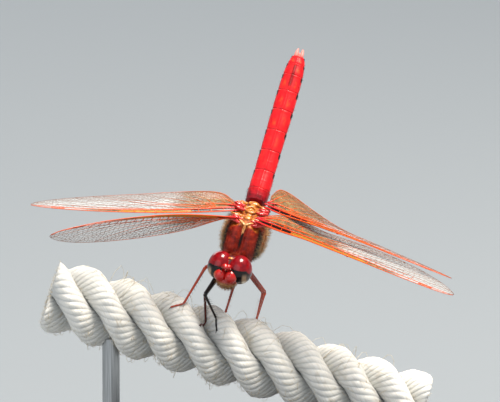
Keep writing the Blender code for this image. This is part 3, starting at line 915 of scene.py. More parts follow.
@dataclass
class Stand:
    """Plain display stand: its CAD base and rods, dressed, and a collar on each rod."""

    collar_radius: float = 2.5
    collar_height: float = 1.7
    collar_edge: float = 0.35
    lip: float = 0.5            # width of the collar's raised inner lip

    def build(self) -> None:
        """Dress the CAD pieces and add the collars."""
        for node, finish in (("stand_base", LACQUER), ("stand_rod_left", STEEL),
                             ("stand_rod_right", STEEL)):
            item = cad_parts[node]
            item.data.materials.clear()
            item.data.materials.append(finish.material())
            LOG.info("%s: kept and dressed", node)
        for side in Side:
            self.collar(side)

    def collar(self, side: Side) -> None:
        """Make the turned collar at the foot of one rod, a disc inset and drawn up.

        Args:
            side: which rod.
        """
        low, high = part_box("stand_rod_" + side.word)
        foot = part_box("stand_base")[1].z
        middle = ((low.x + high.x) / 2, (low.y + high.y) / 2)
        bpy.ops.object.select_all(action="DESELECT")
        bpy.ops.mesh.primitive_cylinder_add(
            vertices=64, radius=self.collar_radius * MM, depth=self.collar_height * MM,
            location=(*middle, foot + self.collar_height * MM / 2))
        item = bpy.context.object
        item.name = "stand_collar_" + side.word
        top = max(face.center.z for face in item.data.polygons)
        bpy.ops.object.mode_set(mode="EDIT")
        bpy.ops.mesh.select_all(action="DESELECT")
        bpy.ops.object.mode_set(mode="OBJECT")
        for face in item.data.polygons:
            face.select = abs(face.center.z - top) < 1e-7
        bpy.ops.object.mode_set(mode="EDIT")
        bpy.ops.mesh.inset(thickness=self.lip * MM, depth=0.0)
        bpy.ops.mesh.extrude_region_move(
            TRANSFORM_OT_translate={"value": (0.0, 0.0, self.lip * MM)})
        bpy.ops.object.mode_set(mode="OBJECT")
        bevel = item.modifiers.new("edge", "BEVEL")
        bevel.width = self.collar_edge * MM
        bevel.segments = 3
        bevel.limit_method = "ANGLE"
        bpy.ops.object.modifier_apply(modifier=bevel.name)
        bpy.ops.object.transform_apply(location=True, rotation=True, scale=True)
        item.data.shade_smooth()
        item.data.set_sharp_from_angle(angle=math.radians(35.0))
        settle(item, STEEL)


@dataclass
class Rope:
    """Short cut length of three-strand rope, laid to the right."""

    slope: float = 17.93        # fall towards +X
    half_length: float = 26.5   # half of its cut length
    height: float = 21.0        # height of the middle of its axis
    lay: float = 17.7           # length of one full turn of a strand
    orbit: float = 2.75         # distance from its axis to a strand's axis
    strand: float = 2.35        # half thickness of a strand
    groove: float = 2.6         # least distance from its axis to a foot
    crown_at: float = 1.4       # place along the axis where a strand crosses the top
    crown_lean: float = -12.0   # angle of that crossing from straight up
    strands: int = 3
    yarns: int = 15             # yarns that show round one strand
    ridge: float = 0.17         # depth of the grooves between yarns
    untwist: float = 1.24       # how much faster the yarns turn back than the strands turn
    fibre_steps: int = 6        # points along a stray fibre

    @property
    def axis(self) -> Matrix:
        """Frame on the rope's axis: X along it, Y to the rear."""
        return (Matrix.Translation((0.0, 0.0, self.height))
                @ Matrix.Rotation(math.radians(self.slope), 4, "Y"))

    def crown(self, along: Array) -> Array:
        """Angle of the first strand from the top, at places along the axis."""
        return math.radians(self.crown_lean) + TAU * (np.asarray(along) - self.crown_at) / self.lay

    def reach(self, along: float, angle: float) -> float:
        """Distance from the axis to the surface.

        Args:
            along: place along the axis.
            angle: angle from the top.

        Returns:
            The distance.
        """
        share = TAU / self.strands
        off = (angle - float(self.crown(along)) + share / 2) % share - share / 2
        across = self.orbit * math.sin(off)
        bulge = math.sqrt(max(self.strand ** 2 - across ** 2, 0.0))
        return max(self.orbit * math.cos(off) + bulge, self.groove)

    def point(self, along: float, angle: float, lift: float = 0.0) -> Vector:
        """World point at a lift over the surface; angles run towards the front."""
        reach = self.reach(along, angle) + lift
        return self.axis @ Vector((along, -reach * math.sin(angle), reach * math.cos(angle)))

    def build(self) -> None:
        """Make the three strands, the loose fibres and the lint below."""
        for number in range(self.strands):
            self.make_strand(number)
        self.make_fibres()

    def make_strand(self, number: int) -> None:
        """Sweep one ridged strand along its helix.

        Args:
            number: which strand, from 0.
        """
        steps, fine = 132, 8
        count = self.yarns * fine
        along = np.linspace(-self.half_length, self.half_length, steps)
        turn = self.crown(along) + TAU * number / self.strands
        spin = -self.untwist * self.orbit / self.strand * (turn - turn[0]) + turn[0]
        phase = TAU * np.arange(count) / count
        draw = np.random.default_rng(40 + number)
        uneven = draw.uniform(0.75, 1.2, self.yarns)[(np.arange(count) // fine)]
        wave = np.abs(np.sin(phase * self.yarns / 2)) ** 0.7
        slow = 0.06 * np.sin(along[:, None] * 1.3 + 2.0 * phase[None] + number)
        bulge = self.strand + slow + self.ridge * (wave * uneven - 0.75)[None]
        end = ease(self.half_length - np.abs(along), 0.0, 0.5)[:, None] * 0.06 + 0.94
        angle = spin[:, None] + phase[None]
        across = self.orbit * np.sin(turn)[:, None] + bulge * end * np.sin(angle)
        up = self.orbit * np.cos(turn)[:, None] + bulge * end * np.cos(angle)
        local = np.stack([np.broadcast_to(along[:, None], across.shape), -across, up], -1)
        around = np.abs((angle - turn[:, None] + math.pi) % TAU - math.pi)
        # How deep each point lies in painted shade: between yarns, and most between strands.
        groove = np.clip(0.75 * (1.0 - wave[None]) ** 1.3 + 0.8 * ease(around, 0.9, 1.9), 0.0, 1.0)
        heap = Heap()
        place = np.stack([local[..., 0], angle * self.strand,
                          np.full(angle.shape, 10.0 * number)], -1)
        heap.loft(moved(self.axis, local), groove=groove, place=place)
        heap.build(f"rope_strand_{number + 1}", ROPE_FIBRE, "rope",
                   ("perch_rope",) if number == 0 else ())

    def make_fibres(self) -> None:
        """Stray fibres in low arcs over the strands, and lint along the underside."""
        draw = np.random.default_rng(7)
        heap = Heap()
        for count, inset, turns, mirrored, lifts, lengths in (
                (330, 0.6, (-math.pi, math.pi), False, (0.12, 0.5), (0.8, 2.6)),
                (300, 0.6, (0.55, 0.95), True, (0.3, 1.0), (0.6, 1.8)),
                (34, 6.0, (-1.2, 0.9), False, (0.8, 2.4), (2.5, 5.5))):
            for _ in range(count):
                along = draw.uniform(inset - self.half_length, self.half_length - inset)
                turn = math.pi * draw.choice([-1.0, 1.0]) if mirrored else 1.0
                self.fibre(heap, draw, along, turn * draw.uniform(*turns),
                           draw.uniform(*lifts), draw.uniform(*lengths))
        self.frayed_ends(heap, draw)
        heap.build("rope_fibres", LINT, "rope")

    def frayed_ends(self, heap: Heap, draw: np.random.Generator, spread: float = 4.6) -> None:
        """Add the short cut fibres that stand off both ends.

        Args:
            heap: the piece they go to.
            draw: source of random draws.
            spread: how far from the axis they stand.
        """
        for _ in range(260):
            end = draw.choice([-1.0, 1.0])
            radius, angle = spread * math.sqrt(draw.uniform()), draw.uniform(-math.pi, math.pi)
            start = np.array([end * (self.half_length - 0.1), radius * math.sin(angle),
                              radius * math.cos(angle)])
            way = np.array([end * 1.0, 0.5 * start[1] / spread, 0.5 * start[2] / spread])
            way = unit(way + draw.normal(0.0, 0.25, 3))
            path = start + np.outer(np.linspace(0.0, draw.uniform(0.2, 0.5), 4), way)
            heap.tube(moved(self.axis, path), np.linspace(0.035, 0.015, 4), 3, place=path)

    def fibre(self, heap: Heap, draw: np.random.Generator, along: float, angle: float,
              lift: float, length: float) -> None:
        """Add one stray fibre.

        Args:
            heap: the piece it goes to.
            draw: source of random draws.
            along: where its foot is along the axis.
            angle: where its foot is round the rope.
            lift: height of its arc.
            length: reach of its arc.
        """
        way = draw.uniform(-math.pi, math.pi)
        path = []
        for share in np.linspace(0.0, 1.0, self.fibre_steps):
            x = along + length * share * math.cos(way)
            x = float(np.clip(x, -self.half_length + 0.2, self.half_length - 0.2))
            turn = angle + length * share * math.sin(way) / 5.0
            rise = lift * math.sin(math.pi * min(share * 1.25, 1.0)) ** 0.8 - 0.12
            path.append(self.point(x, turn, rise))
        table = np.array(path) + draw.normal(0.0, 0.03, (self.fibre_steps, 3))
        heap.tube(table, np.linspace(0.034, 0.014, self.fibre_steps), 3, place=table)


# -------- insect's frames

@dataclass(frozen=True)
class Posture:
    """Where the body regions of the insect are and how they point."""

    over_rope: tuple[float, float, float] = (1.89, 0.0, 19.32)
    thorax_pose: tuple[float, float, float] = (-15.7, 23.2, 15.5)
    head_pose: tuple[float, float, float] = (-16.0, 7.2, 10.3)
    abdomen_pose: tuple[float, float, float] = (-28.2, 55.5, 24.0)
    head_place: tuple[float, float, float] = (-0.2, -7.6, -4.5)
    abdomen_joint: tuple[float, float, float] = (-0.1, 3.9, -2.1)

    def thorax(self, rope: Rope) -> Matrix:
        """Anatomical frame on the back between the wing bases."""
        return pose_matrix(self.thorax_pose,
                           Vector(self.over_rope) + Vector((0.0, 0.0, rope.height)))

    def head(self, rope: Rope) -> Matrix:
        """Anatomical frame at the centre of the head."""
        return pose_matrix(self.head_pose, self.thorax(rope) @ Vector(self.head_place))

    def waist(self, rope: Rope) -> Matrix:
        """Frame of the abdomen's first ring, parallel to the thorax."""
        return pose_matrix(self.thorax_pose, self.thorax(rope) @ Vector(self.abdomen_joint))

    def abdomen(self, rope: Rope) -> Matrix:
        """Anatomical frame at the front of the abdomen."""
        return pose_matrix(self.abdomen_pose, self.thorax(rope) @ Vector(self.abdomen_joint))


# -------- head

@dataclass
class Head:
    """Head with two compound eyes, swollen two-lobed frons, mouth plates and feelers."""

    axes: Matrix
    eye_centre: tuple[float, float, float] = (1.40, 0.10, 0.45)
    eye_half: tuple[float, float, float] = (1.66, 1.78, 2.0)
    eye_tilt: float = 9.0

    def build(self) -> None:
        """Make each part of the head."""
        for side in Side:
            self.make_eye(side)
            self.make_antenna(side)
        self.make_skull()
        self.make_frons()
        self.make_mouth()
        self.make_vertex()
        self.make_bristles()

    def at(self, place: Sequence[float], tilt: float = 0.0, pitch: float = 0.0) -> Matrix:
        """Frame at a place on the head, leaning sideways and forwards in degrees."""
        return (self.axes @ Matrix.Translation(place)
                @ Matrix.Rotation(math.radians(tilt), 4, "Y")
                @ Matrix.Rotation(math.radians(pitch), 4, "X"))

    def make_eye(self, side: Side) -> None:
        """Make one compound eye, with the soft notch at its hind edge.

        Args:
            side: which eye.
        """
        x, y, z = self.eye_centre
        centre = (side.value * x, y, z)
        ball(f"eye_{side.word}_lens", self.at(centre, -side.value * self.eye_tilt), self.eye_half,
             (96, 64), EYE, ("eye_" + side.word,),
             lambda ways: 1.0 - 0.05 * hump(ways[:, 2], -0.15, 0.22) * ease(ways[:, 1], 0.35, 0.9)
             * ease(ways[:, 0] * side.value, -0.1, 0.5), self.at(centre))

    def make_skull(self) -> None:
        """Make the dark wall behind and below the eyes, with the orange plate on top."""
        ball("head_wall", self.at((0.0, 0.25, 0.1)), (2.1, 1.34, 1.98), (64, 48), HEAD_WALL,
             ("head",), lambda ways: 1.0 - 0.22 * ease(ways[:, 1], 0.5, 0.9)
             * np.exp(-(ways[:, 0] ** 2 + ways[:, 2] ** 2) / 0.25))
        ball("occiput_triangle", self.at((0.0, -0.06, 1.83), 0.0, -12.0), (0.52, 0.42, 0.2),
             (32, 20), OCCIPUT, (),
             lambda ways: 0.55 + 0.45 * ease(-ways[:, 1], -1.0, 1.0))

    def make_frons(self) -> None:
        """Make the swollen forehead, two polished balls with a deep cleft between them."""
        ball("frons_base", self.at((-0.12, -0.75, -0.4)), (1.3, 0.72, 0.8), (64, 40), FACE,
             (), lambda ways: 1.0 - 0.1 * hump(ways[:, 0], 0.0, 0.3), self.axes)
        for side in Side:
            place = (side.value * 0.72 - 0.12, -1.3, -0.3)
            ball("frons_lobe_" + side.word, self.at(place, side.value * 6.0), (0.92, 0.86, 0.92),
                 (64, 44), FACE, ("frons",) if side is Side.RIGHT else (),
                 lambda ways: 1.0 - 0.1 * ease(-side.value * ways[:, 0], 0.55, 1.0)
                 + 0.03 * ways[:, 2], self.axes)

    @staticmethod
    def lip_form(ways: Array) -> Array:
        """Shape the clypeus, with its seams and the lip below them.

        Args:
            ways: directions on the unit ball.

        Returns:
            Share of the half sizes at each of them.
        """
        seams = 0.07 * (hump(ways[:, 2], 0.32, 0.06) + hump(ways[:, 2], -0.12, 0.05))
        notch = 0.06 * hump(ways[:, 0], 0.0, 0.12) * hump(ways[:, 2], -0.75, 0.15)
        lip = 0.05 * hump(ways[:, 2], -0.5, 0.3)
        return 1.0 + ease(-ways[:, 1], -0.1, 0.4) * (lip - seams - notch)

    def make_mouth(self) -> None:
        """Make the clypeus, upper lip, jaw bases and two-lobed lower lip."""
        ball("clypeus_and_lip", self.at((0.0, -0.93, -1.22)), (1.38, 0.97, 0.82), (72, 56), FACE,
             ("face",), self.lip_form, self.axes)
        ball("labium_lobes", self.at((0.0, -0.2, -1.68)), (1.26, 1.2, 0.78), (64, 40), FACE,
             ("labium",), lambda ways: 1.0 - 0.14 * hump(ways[:, 0], 0.0, 0.08)
             * ease(-ways[:, 2], -0.2, 0.4), self.axes)
        for side in Side:
            ball("jaw_base_" + side.word, self.at((side.value * 1.22, -0.75, -1.0), side.value * 18.0),
                 (0.34, 0.55, 0.62), (32, 20), FACE, (),
                 lambda ways: 1.0 + 0.08 * ways[:, 2], self.axes)

    def make_vertex(self) -> None:
        """Make the knob between the eyes with its three simple eyes."""
        ball("vertex_knob", self.at((-0.12, -1.42, 1.02), 0.0, -15.0), (0.68, 0.54, 0.48), (48, 32),
             FACE, (), lambda ways: 1.0 - 0.22 * hump(ways[:, 0], 0.0, 0.25)
             * ease(ways[:, 2], -0.3, 0.6), self.at((0.0, 0.0, 0.4)))
        for name, place, radius in (("middle", (-0.12, -1.9, 0.72), 0.11),
                                    ("left", (0.53, -1.6, 0.9), 0.1),
                                    ("right", (-0.77, -1.6, 0.9), 0.1)):
            ball("ocellus_" + name, self.at(place), (radius, radius, radius * 0.8), (24, 16),
                 OCELLUS, (), lambda ways: 1.0 - 0.08 * ways[:, 1])

    def make_antenna(self, side: Side) -> None:
        """Make one feeler: ringed socket, two stout joints and a bristle-fine whip.

        Args:
            side: which feeler.
        """
        course = ((0.0, 0.60, -1.90, 0.62, 0.10), (0.1, 0.62, -2.05, 0.68, 0.09),
                  (0.2, 0.65, -2.22, 0.75, 0.06), (0.24, 0.66, -2.28, 0.78, 0.08),
                  (0.4, 0.72, -2.48, 0.93, 0.07), (0.45, 0.74, -2.54, 0.98, 0.04),
                  (0.7, 0.86, -2.88, 1.25, 0.04), (0.85, 0.95, -3.08, 1.42, 0.03),
                  (1.0, 1.06, -3.25, 1.58, 0.015))
        rows = blend(course, np.linspace(0.0, 1.0, 36))
        local = rows[:, :3] * np.array([side.value, 1.0, 1.0])
        heap = Heap()
        heap.tube(moved(self.axes, local), rows[:, 3], 12, place=local)
        heap.build("feeler_" + side.word, ANTENNA, "leg", ("antenna_" + side.word,))

    def make_bristles(self) -> None:
        """Make short dark bristles on the face and a fringe of pale hair round the mouth."""
        draw = np.random.default_rng(21)
        dark, pale = Heap(), Heap()
        specs = (((0.0, -1.27, -0.12), (1.45, 0.9, 0.92), 60, (-1.0, 0.55), dark, 0.2, 0.01),
                 ((0.0, -0.93, -1.22), (1.42, 1.02, 0.86), 260, (-1.0, 0.35), pale, 0.42, 0.016),
                 ((0.0, -0.2, -1.68), (1.3, 1.24, 0.82), 220, (-1.0, 0.1), pale, 0.4, 0.016),
                 ((0.0, 0.25, 0.1), (2.1, 1.34, 1.98), 420, (-0.9, 0.95), pale, 0.5, 0.016))
        for centre, half, count, (low, high), heap, length, radius in specs:
            ways = unit(draw.normal(0.0, 1.0, (count * 3, 3)))
            back = centre[1] > 0.0
            keep = (ways[:, 1] > 0.35 if back else ways[:, 1] < -0.25) & (ways[:, 2] > low)
            ways = ways[keep & (ways[:, 2] < high)][:count]
            roots = np.array(centre) + ways * np.array(half) * 0.97
            normals = unit(ways / np.array(half))
            lean = normals + np.array([0.0, -0.1, -0.35]) + draw.normal(0.0, 0.2, ways.shape)
            tips = roots + unit(lean) * (length * draw.uniform(0.6, 1.1, (len(ways), 1)))
            maps = np.stack([np.arctan2(ways[:, 0], ways[:, 1]) / TAU + 0.5,
                             (ways[:, 2] + 1.0) / 2.0], -1)
            heap.hairs(moved(self.axes, roots), moved(self.axes, tips),
                       draw.normal(0.0, 0.02, ways.shape), np.full(len(ways), radius), maps,
                       place=roots)
        dark.build("face_bristles", BRISTLE, "face")
        pale.build("mouth_fringe", MOUTH_HAIR, "face")


# -------- thorax

@dataclass
class Thorax:
    """Thorax wall as one skin from the neck to the waist, with its coat of hair."""

    axes: Matrix                # anatomical frame on the back between the wing bases
    sections: Stations = (      # back, top, bottom, half width, squareness
        (-6.20, -3.95, -4.95, 0.50, 2.0), (-6.00, -3.50, -5.40, 0.95, 2.0),
        (-5.50, -3.15, -5.65, 1.25, 2.0), (-5.12, -3.35, -5.55, 1.15, 2.0),
        (-4.85, -2.85, -5.80, 1.75, 2.2), (-3.90, -1.35, -6.10, 2.45, 2.3),
        (-2.70, 0.05, -6.45, 2.85, 2.3), (-1.60, 0.25, -6.75, 3.00, 2.3),
        (0.00, 0.20, -6.90, 3.05, 2.3), (1.60, 0.10, -6.30, 2.95, 2.3),
        (2.90, -0.30, -5.30, 2.45, 2.2), (3.70, -0.90, -4.30, 1.75, 2.0),
        (3.95, -1.50, -3.60, 0.90, 2.0))
    coat_depth: float = 0.3     # how far the skin lies inside the outline that hair fills
    around: int = 144           # points round the skin
    along: int = 120            # rings from neck to waist
    tufts: int = 4400           # tufts of hair, before they thin out on the back
    tuft: int = 3               # hairs in one tuft
    spread: float = 0.2         # how far a tuft's hairs stand apart at their tips
    hair: float = 0.012         # half thickness, three times a real one's so that it shows

    def build(self) -> None:
        """Make the skin, the plates on the back, the wing hinges and the coat."""
        skin, maps, normals = self.skin()
        heap = Heap()
        heap.loft(moved(self.axes, skin), place=skin, **{BAKE_MAP: maps})
        heap.build("thorax_skin", THORAX_WALL, "thorax", ("thorax", "prothorax"))
        self.make_crest()
        self.make_ring()
        self.make_plates()
        self.make_hinges()
        self.make_coat(skin, maps, normals)

    def skin(self) -> tuple[Array, Array, Array]:
        """Shape the wall from its sections and its relief.

        Returns:
            Points, bake map places and outward directions, all on its grid.
        """
        backs = np.linspace(self.sections[0][0], self.sections[-1][0], self.along)
        tops, bottoms, widths, squares = blend(self.sections, backs).T[:, :, None]
        angles = TAU * np.arange(self.around)[None] / self.around + math.pi
        side, rise = np.sin(angles), np.cos(angles)
        middle, half = (tops + bottoms) / 2, (tops - bottoms) / 2 - self.coat_depth
        power = 2.0 / squares
        x = (widths - self.coat_depth) * np.sign(side) * np.abs(side) ** power
        z = middle + half * np.sign(rise) * np.abs(rise) ** power
        y = np.broadcast_to(backs[:, None], x.shape)
        base = np.stack([x, y, z], -1)
        normals = self.outward(base)
        base = base + normals * self.relief(base)[..., None]
        maps = np.stack(np.broadcast_arrays(
            0.01 + 0.97 * np.arange(self.around)[None] / self.around,
            0.01 + 0.97 * np.arange(self.along)[:, None] / self.along), -1)
        return base, maps, self.outward(base)

    @staticmethod
    def outward(grid: Array) -> Array:
        """Work out the unit directions off a grid of closed rings.

        Args:
            grid: points of shape (rings, points in a ring, 3).

        Returns:
            One direction for each point.
        """
        along = np.gradient(grid, axis=0)
        across = np.roll(grid, -1, axis=1) - np.roll(grid, 1, axis=1)
        normals = unit(np.cross(across, along))
        centre = grid.mean(axis=1, keepdims=True)
        flip = np.sign(np.einsum("ijk,ijk->ij", normals, grid - centre))
        return normals * np.where(flip == 0, 1.0, flip)[..., None]

    @staticmethod
    def relief(points: Array) -> Array:
        """Raise the wall's keels and swellings and sink its seams.

        Args:
            points: points of its plain form.

        Returns:
            Height over it at each of them.
        """
        x, y, z = points[..., 0], points[..., 1], points[..., 2]
        side = np.abs(x)
        front = ease(-y, 2.3, 2.9) * ease(y, -5.05, -4.6)
        rise = front * (0.16 * hump(x, 0.0, 0.09) - 0.2 * hump(side, 0.3, 0.2)
                        + 0.16 * hump(side, 1.15, 0.65)) * ease(z, -5.2, -4.2)
        flank = ease(side, 1.7, 2.3)
        slant = y - SEAM_SLANT * z
        for middle in (-1.55, 0.9, 2.9):
            rise = rise - 0.13 * flank * hump(slant, middle, 0.13)
            rise = rise + 0.07 * flank * hump(slant, middle + 1.1, 0.6)
        top = ease(z, -1.3, -0.6) * ease(y, -3.0, -2.5)
        rise = rise - 0.28 * top * hump(side, 1.35, 0.35)
        rise = rise - 0.2 * top * (hump(y, -0.45, 0.22) + hump(y, 2.35, 0.25)) * (side < 1.4)
        return rise + 0.02 * np.sin(9.0 * x + 4.0 * z) * np.sin(7.0 * y)

    def make_crest(self) -> None:
        """Make the pale crest, two arms to the wings and a stem to the front."""
        heap = Heap()
        arms = ((0.0, 0.0, -2.62, -0.16), (0.35, 0.3, -2.45, -0.1), (0.75, 0.75, -2.1, -0.02),
                (1.0, 1.0, -1.95, -0.06))
        stem = ((0.0, 0.02, -2.6, -0.2), (0.4, 0.0, -2.95, -0.55), (0.75, -0.02, -3.3, -0.9),
                (1.0, -0.04, -3.6, -1.25))
        for course, sign, steps, girths, flat in (
                (arms, 1.0, 26, (0.16, 0.17, 0.14, 0.06), 0.8),
                (arms, -1.0, 26, (0.16, 0.17, 0.14, 0.06), 0.8),
                (stem, 1.0, 20, (0.14, 0.19, 0.17, 0.06), 0.9)):
            share = np.linspace(0.0, 1.0, steps)
            path = blend(course, share) * np.array([sign, 1.0, 1.0])
            heap.tube(moved(self.axes, path), np.interp(share, (0, 0.3, 0.8, 1), girths), 14, flat,
                      place=path)
        heap.build("antealar_crest", CREST, "thorax")

    def make_ring(self) -> None:
        """Make the amber rim round the pit between the wing bases."""
        turns, spokes = (TAU * np.arange(count) / count for count in (32, 10))
        out = 0.64 + 0.15 * np.cos(spokes)[:, None]
        body = np.stack(np.broadcast_arrays(out * np.cos(turns), 0.55 + out * np.sin(turns),
                                            0.1 + 0.15 * np.sin(spokes)[:, None]), -1)
        heap = Heap()
        heap.loft(moved(self.axes, body), True, place=body)
        heap.build("scutellum_ring", AMBER_PLATE, "thorax")

    def make_plates(self) -> None:
        """Make the amber plates of the back, each with a dimple."""
        plates = (("scutum_front", (0.0, -1.15, -0.1), (0.6, 0.5, 0.34)),
                  ("scutum_left", (0.78, -1.0, -0.36), (0.3, 0.62, 0.3)),
                  ("scutum_right", (-0.78, -1.0, -0.36), (0.3, 0.62, 0.3)),
                  ("scutellum_bridge", (0.0, -0.42, -0.2), (0.5, 0.3, 0.3)),
                  ("scutellum_pit", (0.0, 0.55, -0.16), (0.6, 0.6, 0.3)),
                  ("scutum_hind_left", (0.92, 1.1, -0.4), (0.34, 0.7, 0.28)),
                  ("scutum_hind_right", (-0.92, 1.1, -0.4), (0.34, 0.7, 0.28)),
                  ("scutum_hind", (0.0, 1.75, -0.3), (0.42, 0.5, 0.3)),
                  ("scutellum_hind", (0.0, 2.5, -0.36), (0.8, 0.46, 0.36)))
        for number, (name, place, half) in enumerate(plates):
            dip = 0.6 if name == "scutellum_pit" else 0.12
            ball(name, self.axes @ Matrix.Translation(place), half, (40, 28), AMBER_PLATE,
                 (), lambda ways: 1.0 - dip * (ways[:, 2] > 0)
                 * np.exp(-(ways[:, 0] ** 2 + ways[:, 1] ** 2) / 0.12),
                 self.axes @ Matrix.Translation((3.0 * number, 0.0, 0.0)))

    def make_hinges(self) -> None:
        """Make the hinge plates of the wings, red in front and amber behind."""
        hinges = (("fore", "front", (1.55, -2.0, -0.26), (0.9, 0.26, 0.26), 26.0, RED_PLATE),
                  ("fore", "middle", (1.35, -1.5, -0.12), (0.8, 0.26, 0.26), 16.0, RED_PLATE),
                  ("fore", "rear", (1.5, -0.75, -0.26), (0.95, 0.3, 0.24), 4.0, AMBER_PLATE),
                  ("hind", "front", (1.6, 0.75, -0.2), (0.85, 0.3, 0.26), 16.0, RED_PLATE),
                  ("hind", "middle", (1.75, 1.4, -0.12), (0.8, 0.32, 0.28), 8.0, RED_PLATE),
                  ("hind", "rear", (1.55, 2.1, -0.3), (0.75, 0.34, 0.26), -8.0, AMBER_PLATE))
        for side in Side:
            for pair, part, (x, y, z), half, lean, finish in hinges:
                turn = pose_matrix((side.value * lean, 0.0, 0.0), (side.value * x, y, z))
                ball(f"hinge_{pair}_{side.word}_{part}", self.axes @ turn, half, (32, 22), finish,
                     (),
                     lambda ways: 1.0 + 0.16 * np.sin(6.0 * ways[:, 0] + 4.0 * ways[:, 1]))

    def make_coat(self, skin: Array, maps: Array, normals: Array) -> None:
        """Place the tufts of the coat: pale fringes on the flanks, short down in front.

        Args:
            skin: points of the wall on its grid.
            maps: bake map place of each of them.
            normals: outward direction of each of them.
        """
        draw = np.random.default_rng(5)
        count = self.tufts
        rows = draw.uniform(3, self.along - 4, count)
        columns = draw.uniform(0, self.around, count)
        low, left = rows.astype(int), columns.astype(int) % self.around
        right = (left + 1) % self.around
        part, across = (rows - low)[:, None], (columns - columns.astype(int))[:, None]
        roots, ways = ((grid[low, left] * (1 - across) + grid[low, right] * across) * (1 - part)
                       + (grid[low + 1, left] * (1 - across) + grid[low + 1, right] * across) * part
                       for grid in (skin, normals))
        ways = unit(ways)
        spots = maps[low, left] + np.concatenate([across, part], -1) * 0.006
        side = np.abs(roots[:, 0])
        flank = ease(side, 1.8, 2.5)
        crown = ease(roots[:, 2], -1.1, -0.7) * ease(roots[:, 1], -3.2, -2.6)
        collar = ease(-roots[:, 1], 4.9, 5.2)
        lengths = 0.3 + 0.48 * flank + 0.35 * collar
        lengths = lengths * (1.0 - 0.65 * crown)
        keep = draw.uniform(size=count) > 0.8 * crown + 0.15 * (1.0 - crown)
        lean = np.array([0.0, 0.25, -0.35]) * (1.0 - 0.5 * flank)[:, None]
        ways = unit(ways + lean + draw.normal(0.0, 0.12, ways.shape))
        pale = 0.15 + 0.6 * flank * (1.0 - collar)
        feet = moved(self.axes, roots)
        ways = unit(moved(self.axes, roots + ways) - feet)
        self.grow(*(np.repeat(table[keep], self.tuft, axis=0)
                    for table in (feet, ways, lengths, spots, roots, pale)))

    def grow(self, feet: Array, ways: Array, lengths: Array, spots: Array, places: Array,
             pale: Array) -> None:
        """Grow the hairs of all tufts, each a little off its tuft's own line.

        Args:
            feet: foot of each hair's tuft in world millimetres.
            ways: direction that it grows in.
            lengths: length of its tuft.
            spots: its place on the skin's unwrap, from 0 to 1.
            places: its place on the thorax, for the markings.
            pale: how pale its tip is.
        """
        draw = np.random.default_rng(11)
        count = len(feet)
        feet = feet + draw.normal(0.0, 0.035, (count, 3))
        ways = unit(ways + draw.normal(0.0, self.spread, (count, 3)))
        lengths = lengths * draw.uniform(0.6, 1.1, count)
        bends = draw.normal(0.0, 0.06, (count, 3)) * lengths[:, None]
        heap = Heap()
        heap.hairs(feet, feet + ways * lengths[:, None], bends, np.full(count, self.hair), spots,
                   place=places, pale=pale)
        heap.build("thorax_coat", THORAX_HAIR, "thorax")


# -------- abdomen

